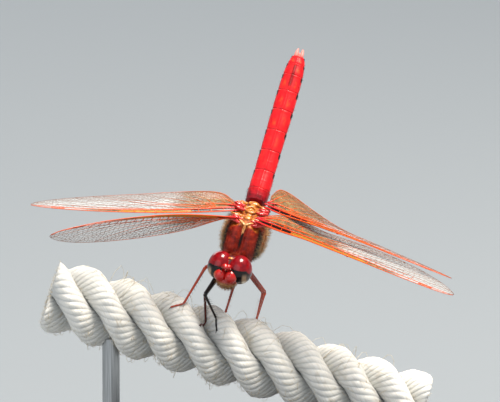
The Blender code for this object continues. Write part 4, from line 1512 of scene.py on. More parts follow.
@dataclass
class Abdomen:
    """Ten overlapping ring shells, then the claspers.

    Widths and heights are half sizes where each ring starts, and of the last end.
    """

    waist: Matrix               # frame of the first ring
    axes: Matrix                # anatomical frame of the others
    lengths: tuple[float, ...] = (0.9, 1.7, 2.8, 3.0, 3.05, 3.05, 2.9, 2.4, 1.7, 1.2)
    widths: tuple[float, ...] = (1.30, 1.45, 1.50, 1.44, 1.43, 1.45, 1.47, 1.46, 1.40, 1.22, 0.88)
    heights: tuple[float, ...] = (1.30, 1.50, 1.45, 1.05, 0.98, 1.00, 1.02, 1.02, 0.96, 0.80, 0.60)
    belly: float = 0.85         # depth below the middle as a share of the height above it
    around: int = 72            # points round a shell
    steps: int = 26             # rings along a shell

    def build(self) -> None:
        """Make the shells, their fine hair and the claspers."""
        hair = Heap()
        back = 0.0
        for index, length in enumerate(self.lengths):
            self.make_shell(index, back, length, hair)
            back += length
        hair.build("abdomen_hair", BRISTLE, "scarlet")
        self.make_claspers(back)

    def ring(self, index: int, back: float) -> Array:
        """Lay out one plain ring.

        Args:
            index: its number from 0.
            back: its distance back.

        Returns:
            Its points in world millimetres.
        """
        angles = TAU * np.arange(self.around) / self.around
        side, rise = np.sin(angles), np.cos(angles)
        down = 1.0 if index == 0 else self.belly
        height = np.where(rise > 0, 1.0, down) * self.heights[index]
        local = np.stack([self.widths[index] * side, np.full(self.around, back), height * rise], -1)
        return moved(self.waist if index == 0 else self.axes, local)

    def make_shell(self, index: int, back: float, length: float, hair: Heap) -> None:
        """One segment: tucked front, keels along back and sides, flared hind edge.

        Args:
            index: its number from 0.
            back: where it starts.
            length: its length.
            hair: the piece that takes its hair.
        """
        shares = np.linspace(-0.04, 1.0, self.steps)
        near, far = self.ring(index, back), self.ring(index + 1, back + length)
        angles = TAU * np.arange(self.around) / self.around
        side, rise = np.sin(angles), np.cos(angles)
        tuck = -0.10 * (1.0 - ease(shares, -0.04, 0.05)) - 0.03 * (1.0 - ease(shares, 0.0, 0.3))
        flare = 0.035 * ease(shares, 0.8, 0.97) - 0.09 * ease(shares, 0.985, 1.0)
        keel = 0.11 * np.exp(-(side / 0.085) ** 2) * (rise > 0)
        edge = 0.09 * hump(rise, -0.42, 0.1) - 0.05 * hump(rise, -0.62, 0.08)
        ridge = 0.025 * hump(shares, 0.42, 0.025) * (1 if 1 <= index <= 3 else 0)
        relief = (tuck + flare)[:, None] + ease(shares, 0.02, 0.12)[:, None] * (
            keel + edge)[None] * min(1.0, length / 2.0)
        relief = relief + ridge[:, None] * ease(rise, -0.4, 0.0)[None]
        plain = near[None] * (1 - shares[:, None, None]) + far[None] * shares[:, None, None]
        outward = unit(plain - plain.mean(axis=1, keepdims=True))
        rings = plain + outward * relief[..., None]
        place = np.stack(np.broadcast_arrays(
            side[None], index + np.clip(shares, 0.0, 0.999)[:, None], rise[None]), -1)
        heap = Heap()
        heap.loft(rings, place=place)
        heap.build(f"abdomen_shell_{index + 1:02d}", ABDOMEN_SHELL,
                   "crimson" if index < 2 else "scarlet", (f"abdomen_{index + 1:02d}",))
        draw = np.random.default_rng(60 + index)
        count = int(length * (60 if index < 2 else 34))
        rows = draw.integers(4, self.steps - 2, count)
        columns = draw.integers(0, self.around, count)
        roots, ways = rings[rows, columns], outward[rows, columns]
        rear = unit(far.mean(0) - near.mean(0))
        tall = draw.uniform(0.12, 0.28, (count, 1)) * (1.6 if index < 2 else 1.0)
        maps = np.stack([columns / self.around, (index + shares[rows]) / 11.0], -1)
        hair.hairs(roots, roots + unit(ways + 0.7 * rear) * tall, ways * 0.02,
                   np.full(count, 0.011), maps, place=roots)

    def make_claspers(self, back: float) -> None:
        """Make two curved upper claspers and the plate between them.

        Args:
            back: where the last ring ends.
        """
        hook = ((0.0, 0.34, -0.35, 0.08, 0.3), (0.2, 0.36, 0.0, 0.12, 0.31),
                (0.5, 0.38, 0.45, 0.14, 0.27), (0.8, 0.36, 0.92, 0.07, 0.2),
                (0.95, 0.32, 1.2, 0.0, 0.12), (1.0, 0.3, 1.3, -0.03, 0.05))
        plate = ((0.0, 0.0, -0.1, -0.3, 0.2), (0.5, 0.0, 0.4, -0.38, 0.24),
                 (0.9, 0.0, 0.75, -0.4, 0.17), (1.0, 0.0, 0.85, -0.4, 0.06))
        for name, node, sign, course, steps, flat, (across, start, rate) in (
                ("clasper_left", "cercus_left", 1.0, hook, 30, 0.85, (0.3, 10.1, 0.6)),
                ("clasper_right", "cercus_right", -1.0, hook, 30, 0.85, (0.3, 10.1, 0.6)),
                ("clasper_plate", "epiproct", 1.0, plate, 16, 0.5, (1.0, 10.15, 0.4))):
            rows = blend(course, np.linspace(0.0, 1.0, steps))
            local = rows[:, :3] * np.array([sign, 1.0, 1.0]) + np.array([0.0, back, 0.0])
            place = np.stack([rows[:, 0] * sign * across, start + rows[:, 1] * rate,
                              np.full(steps, 0.5)], -1)
            heap = Heap()
            heap.tube(moved(self.axes, local), rows[:, 3], 16, flat, place=place)
            heap.build(name, ABDOMEN_SHELL, "scarlet", (node,))




# -------- wings

@dataclass(frozen=True)
class Vein:
    """One long vein of a wing.

    Its course has rows of the share of the span and the place across the wing, which
    is -1 on the leading edge, 0 on the radius and 1 on the trailing edge.
    """

    name: str
    course: Stations
    girth: tuple[float, float] = (0.075, 0.03)      # half thickness at its two ends
    warm: tuple[float, float] = (0.8, 0.2)          # how orange it is there
    lined: bool = True                              # small cells line up along it


ROOT_VEIN = ((0.10, 0.03), (0.9, 0.15))             # girth and warmth of a vein of each kind
THIN_BRANCH = ((0.045, 0.025), (0.4, 0.1))
WARM_BRANCH = ((0.045, 0.025), (0.5, 0.1))
FRONT_CUBITUS = ((0.06, 0.03), (0.6, 0.15))
SUBCOSTA = ((0.075, 0.04), (0.95, 0.65), False)


FRONT_VEINS = (
    Vein("costa", ((-0.01, -1.0), (0.5, -1.0), (0.97, -1.0), (1.0, -0.9)),
         (0.10, 0.045), (0.9, 0.66), False),
    Vein("radius", ((-0.02, 0.0), (0.5, 0.0), (0.97, 0.0), (0.995, 0.3)),
         (0.11, 0.04), (0.95, 0.62), False),
)
FORE_VEINS = (
    Vein("subcosta", ((-0.01, -0.5), (0.25, -0.5), (0.44, -0.52), (0.49, -0.95)), *SUBCOSTA),
    Vein("radial_posterior", ((0.125, 0.10), (0.3, 0.10), (0.5, 0.13), (0.8, 0.22), (0.93, 0.5),
                              (0.985, 0.98))),
    Vein("second_branch", ((0.53, 0.135), (0.66, 0.27), (0.8, 0.52), (0.90, 1.0)), *THIN_BRANCH),
    Vein("third_branch", ((0.33, 0.13), (0.55, 0.36), (0.7, 0.62), (0.80, 1.0)), *WARM_BRANCH),
    Vein("fourth_branch", ((0.125, 0.13), (0.3, 0.27), (0.45, 0.42), (0.6, 0.70), (0.69, 1.0))),
    Vein("media", ((-0.01, 0.22), (0.125, 0.2), (0.3, 0.37), (0.45, 0.54), (0.57, 0.82),
                   (0.64, 1.0)), *ROOT_VEIN),
    Vein("cubitus_front", ((0.19, 0.55), (0.3, 0.66), (0.41, 0.86), (0.49, 1.0)), *FRONT_CUBITUS),
    Vein("cubitus", ((-0.015, 0.5), (0.10, 0.5), (0.17, 0.6), (0.23, 0.8), (0.29, 1.0)),
         (0.12, 0.03), (0.95, 0.2)),
    Vein("anal", ((-0.01, 0.8), (0.06, 0.74), (0.12, 0.8), (0.17, 1.0)), (0.08, 0.03), (0.9, 0.3)),
)
HIND_VEINS = (
    Vein("subcosta", ((-0.01, -0.5), (0.2, -0.5), (0.36, -0.52), (0.41, -0.95)), *SUBCOSTA),
    Vein("radial_posterior", ((0.10, 0.05), (0.3, 0.06), (0.5, 0.09), (0.8, 0.2), (0.93, 0.48),
                              (0.985, 0.98))),
    Vein("second_branch", ((0.45, 0.09), (0.6, 0.22), (0.77, 0.52), (0.88, 1.0)), *THIN_BRANCH),
    Vein("third_branch", ((0.27, 0.08), (0.48, 0.27), (0.66, 0.58), (0.77, 1.0)), *WARM_BRANCH),
    Vein("fourth_branch", ((0.10, 0.07), (0.3, 0.19), (0.48, 0.4), (0.61, 0.72), (0.68, 1.0))),
    Vein("media", ((-0.01, 0.11), (0.10, 0.11), (0.3, 0.27), (0.47, 0.5), (0.57, 0.8),
                   (0.63, 1.0)), *ROOT_VEIN),
    Vein("cubitus_front", ((0.14, 0.27), (0.25, 0.42), (0.36, 0.72), (0.44, 1.0)), *FRONT_CUBITUS),
    Vein("cubitus", ((-0.015, 0.2), (0.10, 0.22), (0.15, 0.33), (0.22, 0.62), (0.28, 1.0)),
         (0.12, 0.03), (0.95, 0.25)),
    Vein("loop_midrib", ((0.10, 0.24), (0.13, 0.45), (0.16, 0.7), (0.20, 0.84)), (0.05, 0.03),
         (0.7, 0.4)),
    Vein("loop_inner", ((0.03, 0.26), (0.07, 0.45), (0.10, 0.7), (0.14, 0.93)), (0.05, 0.03),
         (0.7, 0.4)),
    Vein("anal", ((-0.01, 0.36), (0.03, 0.5), (0.06, 0.75), (0.075, 1.0)), (0.09, 0.03), (0.9, 0.4)),
)
FORE_EDGES = (
    (0.00, 0.45, -0.80), (0.05, 0.72, -2.30), (0.12, 1.10, -3.50), (0.35, 1.95, -4.45),
    (0.55, 2.15, -4.75), (0.75, 1.95, -4.20), (0.90, 1.25, -2.75), (0.97, 0.60, -1.45),
    (1.00, -0.15, -0.55),
)
HIND_EDGES = (
    (0.00, 0.45, -2.20), (0.04, 0.66, -5.00), (0.12, 1.08, -6.60), (0.27, 1.70, -7.10),
    (0.45, 1.95, -6.35), (0.65, 1.85, -5.10), (0.82, 1.35, -3.60), (0.95, 0.60, -1.85),
    (1.00, -0.15, -0.60),
)


@dataclass(frozen=True)
class Plan:
    """What fore and hind wings differ in."""

    edges: Stations                     # span share, leading and trailing edge
    veins: tuple[Vein, ...]             # long veins behind the leading edge
    nodus: float                        # span share where the front edge is notched
    before: int                         # cross veins between the front veins up to it
    after: int                          # cross veins from there to the stigma
    gate: float                         # place across where the first branch leaves
    triangle: Stations                  # corners of the cell of that name
    stigma: tuple[float, float] = (0.845, 0.905)
    cell: tuple[float, float] = (0.86, 0.52)        # cell size in front and at the rear


FORE_PLAN = Plan(FORE_EDGES, FORE_VEINS, 0.49, 8, 7, 0.22,
                 ((0.175, 0.32), (0.205, 0.34), (0.185, 0.6)))
HIND_PLAN = Plan(HIND_EDGES, HIND_VEINS, 0.41, 6, 8, 0.13,
                 ((0.105, 0.14), (0.15, 0.2), (0.13, 0.3)))


@dataclass(frozen=True)
class Stain:
    """Coloured membrane of one wing."""

    amber: float                # span share where the amber stain ends
    lobe: float                 # strength of the stain on the broad hind lobe
    streaks: Stations           # smoky streaks: span shares, places across, strength


@dataclass
class Blade:
    """One wing: film cells in a net of veins, corrugated, twisted and stained."""

    name: str
    axes: Matrix                # thorax frame
    side: Side
    root: tuple[float, float, float]    # where it is hinged on that frame
    length: float
    sweep: float                # tip forward of straight out
    rise: float                 # tip above straight out
    pitch: float                # leading edge up at the root
    washout: float              # leading edge further up at the tip
    bow: float                  # rise of the middle of the span
    plan: Plan
    stain: Stain
    heel: float = 0.0           # how far the base swings in, for each length behind the front
    relax: float = 0.0          # how much flatter the base stands, in degrees
    dip: float = 0.0            # how far the base sags
    camber: float = 0.03
    twist: float = 7.0          # how much of the twist lies near the root
    film: float = 0.02          # thickness, drawn ten times the real one
    thread: float = 0.026       # half thickness of a cross vein
    tip: float = 0.9985         # span share where the film ends
    grid: float = 0.3           # spacing of the places that are tried for cells
    front: Stations = ((0.0, 0.5), (0.1, 0.8), (0.3, 0.86), (0.6, 0.72), (0.88, 0.55), (1.0, 0.2))
    folds: Stations = (         # place across and height of each fold of the film
        (-1.0, 0.02), (-0.5, -0.15), (0.0, 0.10), (0.08, -0.12), (0.2, 0.08), (0.33, -0.09),
        (0.47, 0.07), (0.62, -0.03), (1.0, 0.0))

    def build(self) -> None:
        """Make the film, the net of veins and the stigma."""
        self.prepare()
        corners, cells, links = self.net()
        self.make_film(corners, cells)
        self.make_veins(corners, links)
        self.make_stigma()

    def prepare(self) -> None:
        """Work out the wing's frame and its outline tables."""
        sweep, rise, pitch = (math.radians(a) for a in (self.sweep, self.rise, self.pitch))
        span = Vector((self.side.value * math.cos(rise) * math.cos(sweep),
                       -math.cos(rise) * math.sin(sweep), math.sin(rise)))
        back = Vector((0.0, 1.0, 0.0))
        back = (back - span * back.dot(span)).normalized()
        up = Vector((0.0, 0.0, 1.0))
        up = (up - span * up.dot(span) - back * up.dot(back)).normalized()
        local = Matrix((span, back * math.cos(pitch) - up * math.sin(pitch),
                        back * math.sin(pitch) + up * math.cos(pitch))).transposed().to_4x4()
        place = Vector((self.side.value * self.root[0], *self.root[1:]))
        self.frame = self.axes @ Matrix.Translation(place) @ local
        self.shares = np.linspace(0.0, 1.0, 201)
        lead, trail = blend(self.plan.edges, self.shares).T
        depth = blend(self.front, self.shares)[:, 0]
        self.rows = (lead, trail, lead - np.minimum(depth, 0.62 * (lead - trail)))

    def outline(self, share: Array) -> list[Array]:
        """Forward places of the leading edge, the trailing edge and the radius."""
        return [np.interp(share, self.shares, row) for row in self.rows]

    def across(self, share: Array, part: Array) -> Array:
        """Turn places across, from -1 to 1, into places on the wing's plane.

        Args:
            share: shares of the span.
            part: places across there.

        Returns:
            Forward places.
        """
        lead, trail, middle = self.outline(share)
        part = np.asarray(part, float)
        return np.where(part < 0, middle - part * (lead - middle), middle + part * (trail - middle))

    def part_of(self, share: Array, forward: Array) -> Array:
        """Turn places on the wing's plane into places across, from -1 to 1.

        Args:
            share: shares of the span.
            forward: forward places there.

        Returns:
            Places across.
        """
        lead, trail, middle = self.outline(share)
        return np.where(forward > middle, -(forward - middle) / np.maximum(lead - middle, 1e-6),
                        (middle - forward) / np.maximum(middle - trail, 1e-6))

    def lay(self, x: Array, forward: Array, lift: Array | float = 0.0) -> Array:
        """World points of places on the wing's plane.

        Args:
            x: distances out from the root.
            forward: places across, towards the leading edge.
            lift: heights over the film.

        Returns:
            The points, on the corrugated, cambered and twisted surface.
        """
        share = np.asarray(x, float) / self.length
        lead, trail, _ = self.outline(share)
        height = np.interp(self.part_of(share, forward), *np.array(self.folds).T)
        height = height * (1.0 - 0.7 * ease(share, 0.1, 0.9))
        chord = np.clip((lead - forward) / np.maximum(lead - trail, 1e-6), 0.0, 1.0)
        z = self.camber * (lead - trail) * np.sin(math.pi * chord) + height + lift
        y = -np.asarray(forward, float)
        base = 1.0 - ease(share, 0.0, 0.3)
        turn = math.radians(self.washout) * (1.0 - (1.0 - np.clip(share, 0.0, 1.0)) ** self.twist)
        turn = turn - math.radians(self.relax) * base
        rear, up = y * np.cos(turn) + z * np.sin(turn), -y * np.sin(turn) + z * np.cos(turn)
        up = up + 4.0 * self.bow * share * (1.0 - share) - self.dip * (1.0 - ease(share, 0.0, 0.6))
        out = np.asarray(x, float) - self.heel * base * np.maximum(y - 0.5, 0.0)
        return moved(self.frame, np.stack([out, rear, up], -1))

    def run(self, course: Stations, start: float = -1.0) -> tuple[Array, Array]:
        """Plane places along a vein, evenly spaced.

        Args:
            course: rows of span share and place across.
            start: least span share, where its own start is left off.

        Returns:
            Distances out and forward places.
        """
        low = max(start, course[0][0])
        steps = max(8, int((course[-1][0] - low) * self.length / 0.4))
        share = np.linspace(low, course[-1][0], steps)
        part = np.clip(blend(course, share)[:, 0], -1.0, 1.0)
        return share * self.length, self.across(share, part)

    def cell_size(self, x: float, forward: float) -> float:
        """Choose the width of a cell: large near the front, small at the rear.

        Args:
            x: distance out of its middle.
            forward: forward place of its middle.

        Returns:
            The width.
        """
        part = float(self.part_of(x / self.length, forward))
        large, small = self.plan.cell
        root = 0.8 + 0.2 * float(ease(x / self.length, 0.0, 0.15))
        return root * (large + (small - large) * float(ease(part, 0.0, 0.9)))

    def offers(self) -> Iterator[tuple[float, float, float, bool]]:
        """Places for the middles of cells: beside the veins, past the ends, all over.

        Yields:
            Distance out, forward place, room that it needs, and whether it is on the wing.
        """
        lined = [vein.course for vein in self.plan.veins if vein.lined]
        for number, course in enumerate([((0.0, 0.0), (1.0, 0.0)), ((0.0, 1.0), (1.0, 1.0)), *lined]):
            border = number < 2
            line = np.stack(self.run(course, 0.005), -1)
            travel = np.concatenate([[0.0], np.cumsum(np.hypot(*np.diff(line, axis=0).T))])
            place = 0.3
            while place < travel[-1]:
                here, ahead, behind = (
                    np.array([np.interp(place + shift, travel, row) for row in line.T])
                    for shift in (0.0, 0.05, -0.05))
                way = unit(ahead - behind)
                step = self.cell_size(*here)
                for sign in (1.0, -1.0):
                    x, forward = here + sign * 0.42 * step * np.array([-way[1], way[0]])
                    part = float(self.part_of(x / self.length, forward))
                    within = 0.0 < part < 1.0 and 0.0 < x < self.length
                    if within or border:
                        yield x, forward, (0.35 if border else 0.62) * step, within
                place += step
        lead, trail, _ = self.rows
        for end in (-0.35, self.length + 0.15):
            for forward in np.arange(trail.min() - 1.0, lead.max() + 1.0, 0.7):
                yield end, float(forward), 0.2, False
        for forward in np.arange(trail.min(), lead.max(), self.grid):
            for x in np.arange(0.2, self.length - 0.1, self.grid):
                if 0.02 < float(self.part_of(x / self.length, forward)) < 0.98:
                    room = 0.93 * self.cell_size(x, forward)
                    yield x, forward + 0.1 * math.sin(5.0 * x), room, True

    def net(self) -> tuple[Array, list[list[int]], Array]:
        """Cells of the film behind the radius: the regions nearest to each middle.

        Returns:
            Corner places on the plane, the corners of each cell, and the corner
            pairs of each cross vein.
        """
        seeds, inside = np.zeros((0, 2)), []
        for x, forward, room, within in self.offers():
            if not inside or ((seeds - (x, forward)) ** 2).sum(1).min() >= room ** 2:
                seeds = np.vstack([seeds, (x, forward)])
                inside.append(within)
        points, _, faces = delaunay_2d_cdt([Vector(seed) for seed in seeds], [], [], 0, 1e-5)[:3]
        table = np.array([tuple(point) for point in points])
        triangles = np.array([list(face) for face in faces])
        start, (bx, by), (cx, cy) = (table[triangles[:, 0]], *((
            table[triangles[:, k]] - table[triangles[:, 0]]).T for k in (1, 2)))
        area = 2.0 * (bx * cy - by * cx)
        area = np.where(np.abs(area) < 1e-9, 1e-9, area)
        b, c = bx ** 2 + by ** 2, cx ** 2 + cy ** 2
        corners = start + np.stack([cy * b - by * c, bx * c - cx * b], -1) / area[:, None]
        corners[:, 0] = np.clip(corners[:, 0], 0.0, self.length * self.tip)
        _, trail, middle = self.outline(corners[:, 0] / self.length)
        corners[:, 1] = np.clip(corners[:, 1], trail, middle)
        around: list[list[int]] = [[] for _ in inside]
        pairs: dict[tuple[int, ...], list[int]] = {}
        for number, face in enumerate(triangles.tolist()):
            for k in range(3):
                around[face[k]].append(number)
                pairs.setdefault(tuple(sorted((face[k], face[(k + 1) % 3]))), []).append(number)
        cells = []
        for seed, ring in enumerate(around):
            if inside[seed] and len(ring) > 2:
                spokes = corners[ring] - table[seed]
                cells.append([ring[k] for k in np.argsort(np.arctan2(spokes[:, 1], spokes[:, 0]))])
        links = np.array([pair for (low, high), pair in pairs.items()
                          if len(pair) == 2 and (inside[low] or inside[high])])
        ends = corners[links]
        return corners, cells, links[np.linalg.norm(ends[:, 0] - ends[:, 1], axis=1) > 0.03]

    def stains(self, x: Array, forward: Array) -> dict[str, Array]:
        """Work out the colour of the membrane.

        Args:
            x: distances out from the root.
            forward: places across.

        Returns:
            Amber and smoke, from 0 to 1, and the place, by name.
        """
        share = x / self.length
        part = self.part_of(share, forward)
        fade = 1.0 - ease(share, 0.35 * self.stain.amber, self.stain.amber)
        amber = fade * (1.0 - 0.75 * ease(part, 0.3, 0.75))
        lobe = self.stain.lobe * (1.0 - ease(share, 0.14, 0.3)) * ease(part, 0.1, 0.4)
        amber = 0.76 * np.maximum(amber, lobe * (1.0 - 0.3 * ease(part, 0.93, 1.0)))
        strip = ease(share, 0.06, 0.14) * (1.0 - ease(share, 0.5, 0.86)) * ease(-part, 0.0, 0.05)
        smoke = np.zeros_like(share)
        for start, stop, low, high, strength in self.stain.streaks:
            length = ease(share, start - 0.015, start + 0.01)
            length = length * (1.0 - ease(share, stop - 0.03, stop + 0.01))
            width = ease(part, low - 0.04, low + 0.02) * (1.0 - ease(part, high - 0.02, high + 0.04))
            smoke = np.maximum(smoke, strength * length * width)
        return {"amber": np.maximum(amber, strip), "smoke": smoke,
                "place": np.stack([x, forward, 0.0 * x], -1)}

    def make_film(self, corners: Array, cells: list[list[int]]) -> None:
        """Make the film of all cells and of the front strip, with a thickness.

        Args:
            corners: corner places on the plane.
            cells: corners of each cell.
        """
        heap = Heap()
        used = sorted({k for cell in cells for k in cell})
        number = {old: new for new, old in enumerate(used)}
        x, forward = corners[used].T
        loops = [list(dict.fromkeys(number[k] for k in cell)) for cell in cells]
        heap.add(self.lay(x, forward), [loop for loop in loops if len(loop) > 2],
                 **self.stains(x, forward))
        share, part = np.meshgrid(np.linspace(0.0, self.tip, 90), np.linspace(-1.0, 0.0, 5),
                                  indexing="ij")
        index = np.arange(share.size).reshape(share.shape)
        x, forward = share.ravel() * self.length, self.across(share, part).ravel()
        faces = np.stack([index[:-1, :-1], index[1:, :-1], index[1:, 1:], index[:-1, 1:]], -1)
        heap.add(self.lay(x, forward), faces.reshape(-1, 4).tolist(), **self.stains(x, forward))
        item = heap.build(self.name + "_film", WING_FILM, "wing", (self.name,))
        bpy.ops.object.select_all(action="DESELECT")
        bpy.context.view_layer.objects.active = item
        wall = item.modifiers.new("film", "SOLIDIFY")
        wall.thickness = self.film * MM
        wall.offset = 0.0
        bpy.ops.object.modifier_apply(modifier=wall.name)

    def make_veins(self, corners: Array, links: Array) -> None:
        """Make the cross veins and the long veins as one net.

        Args:
            corners: corner places on the plane.
            links: corner pairs of each cross vein.
        """
        heap = Heap()
        starts, stops = (self.lay(*corners[links[:, k]].T) for k in (0, 1))
        share = corners[links, 0].mean(1) / self.length
        heap.prisms(starts, stops, self.thread * (1.25 - 0.45 * ease(share, 0.1, 0.9)),
                    warm=0.12 + 0.4 * (1.0 - ease(share, 0.06, 0.3)),
                    place=np.stack([share * self.length, 0 * share, 0 * share], -1))
        for vein in (*FRONT_VEINS, *self.plan.veins):
            self.add_vein(heap, *self.run(vein.course), vein.girth, vein.warm)
        for share, part, girth, warm in (
                (np.linspace(0.02, 0.997, 120), np.ones(120), (0.05, 0.022), (0.6, 0.1)),
                (np.full(9, self.tip), np.linspace(-0.9, 1.0, 9), (0.03, 0.022), (0.3, 0.1))):
            self.add_vein(heap, share * self.length, self.across(share, part), girth, warm)
        self.add_cross_veins(heap)
        nodus = np.array([self.plan.nodus])
        knob = self.lay(nodus * self.length, self.across(nodus, np.array([-0.9])))[0]
        forward = unit(self.lay(np.array([self.length]), np.array([0.0]))[0] - knob)
        path = knob + np.outer(np.linspace(-0.28, 0.28, 7), forward)
        heap.tube(path, [0.03, 0.1, 0.14, 0.15, 0.13, 0.09, 0.03], 8, warm=0.85, place=path)
        heap.build(self.name + "_veins", WING_VEIN, "wing")

    def add_vein(self, heap: Heap, x: Array, forward: Array, girth: Sequence[float],
                 warm: Sequence[float]) -> None:
        """Add one long vein.

        Args:
            heap: the piece it goes to.
            x: distances out from the root.
            forward: places across.
            girth: half thickness at both ends.
            warm: how orange it is at both ends.
        """
        share = np.linspace(0.0, 1.0, len(x))
        tone = np.interp(share, (0.0, 0.55, 1.0), (warm[0], 0.55 * warm[0] + 0.45 * warm[1], warm[1]))
        tone = np.clip(tone + 0.12 * (1.0 - ease(x / self.length, 0.0, 0.1)), 0.0, 1.0)
        girths = (girth[0], 0.6 * girth[0] + 0.4 * girth[1], girth[1])
        heap.tube(self.lay(x, forward), np.interp(share, (0.0, 0.3, 1.0), girths), 8, warm=tone,
                  place=np.stack([x, forward, np.zeros_like(x)], -1))

    def add_cross_veins(self, heap: Heap) -> None:
        """Add the ladder of cross veins between the front veins, and the triangle.

        Args:
            heap: the piece they go to.
        """
        nodus, (start, stop) = self.plan.nodus, self.plan.stigma
        ladder = np.linspace(0.07, nodus - 0.03, self.plan.before)
        behind = next(vein.course for vein in self.plan.veins if vein.name == "radial_posterior")
        rungs = np.linspace(behind[0][0] + 0.03, 0.8, 15)
        bars = [(share, -1.0, -0.5) for share in ladder] + [(share, -0.5, 0.0) for share in ladder]
        bars += [(share, -1.0, 0.0) for share in (
            *np.linspace(nodus + 0.045, start, self.plan.after), nodus, stop, 0.935, 0.96)]
        bars += [(share, 0.0, part) for share, part in zip(rungs, blend(behind, rungs)[:, 0])]
        bars += [(behind[0][0], 0.0, self.plan.gate)]
        for share, low, high in bars:
            part = np.linspace(low, high, 4)
            thick = 0.055 - 0.02 * float(ease(share, 0.2, 0.9))
            self.add_vein(heap, np.full(4, share * self.length), self.across(np.full(4, share), part),
                          (thick, thick), (0.8, 0.75) if share < 0.6 else (0.5, 0.45))
        corners = np.array(self.plan.triangle)
        for corner, following in zip(corners, np.roll(corners, -1, axis=0)):
            share, part = np.linspace(corner, following, 5).T
            self.add_vein(heap, share * self.length, self.across(share, part), (0.055, 0.055),
                          (0.7, 0.7))

    def make_stigma(self) -> None:
        """Thick coloured cell near the tip, a flat pad with rounded edges."""
        steps, around = 14, 20
        swell = np.sin(math.pi * np.linspace(0.04, 0.96, steps)) ** 0.35
        cosine, sine = (wave(TAU * np.arange(around) / around) for wave in (np.cos, np.sin))
        rings = []
        for share, full in zip(np.linspace(*self.plan.stigma, steps), swell):
            part = -0.5 + 0.46 * full * np.sign(cosine) * np.abs(cosine) ** 0.6
            lift = 0.075 * full * np.sign(sine) * np.abs(sine) ** 0.7
            shares = np.full(around, share)
            rings.append(self.lay(shares * self.length, self.across(shares, part), lift))
        table = np.array(rings)
        heap = Heap()
        heap.loft(table, place=table)
        heap.build(self.name + "_stigma", STIGMA, "wing")


# -------- legs

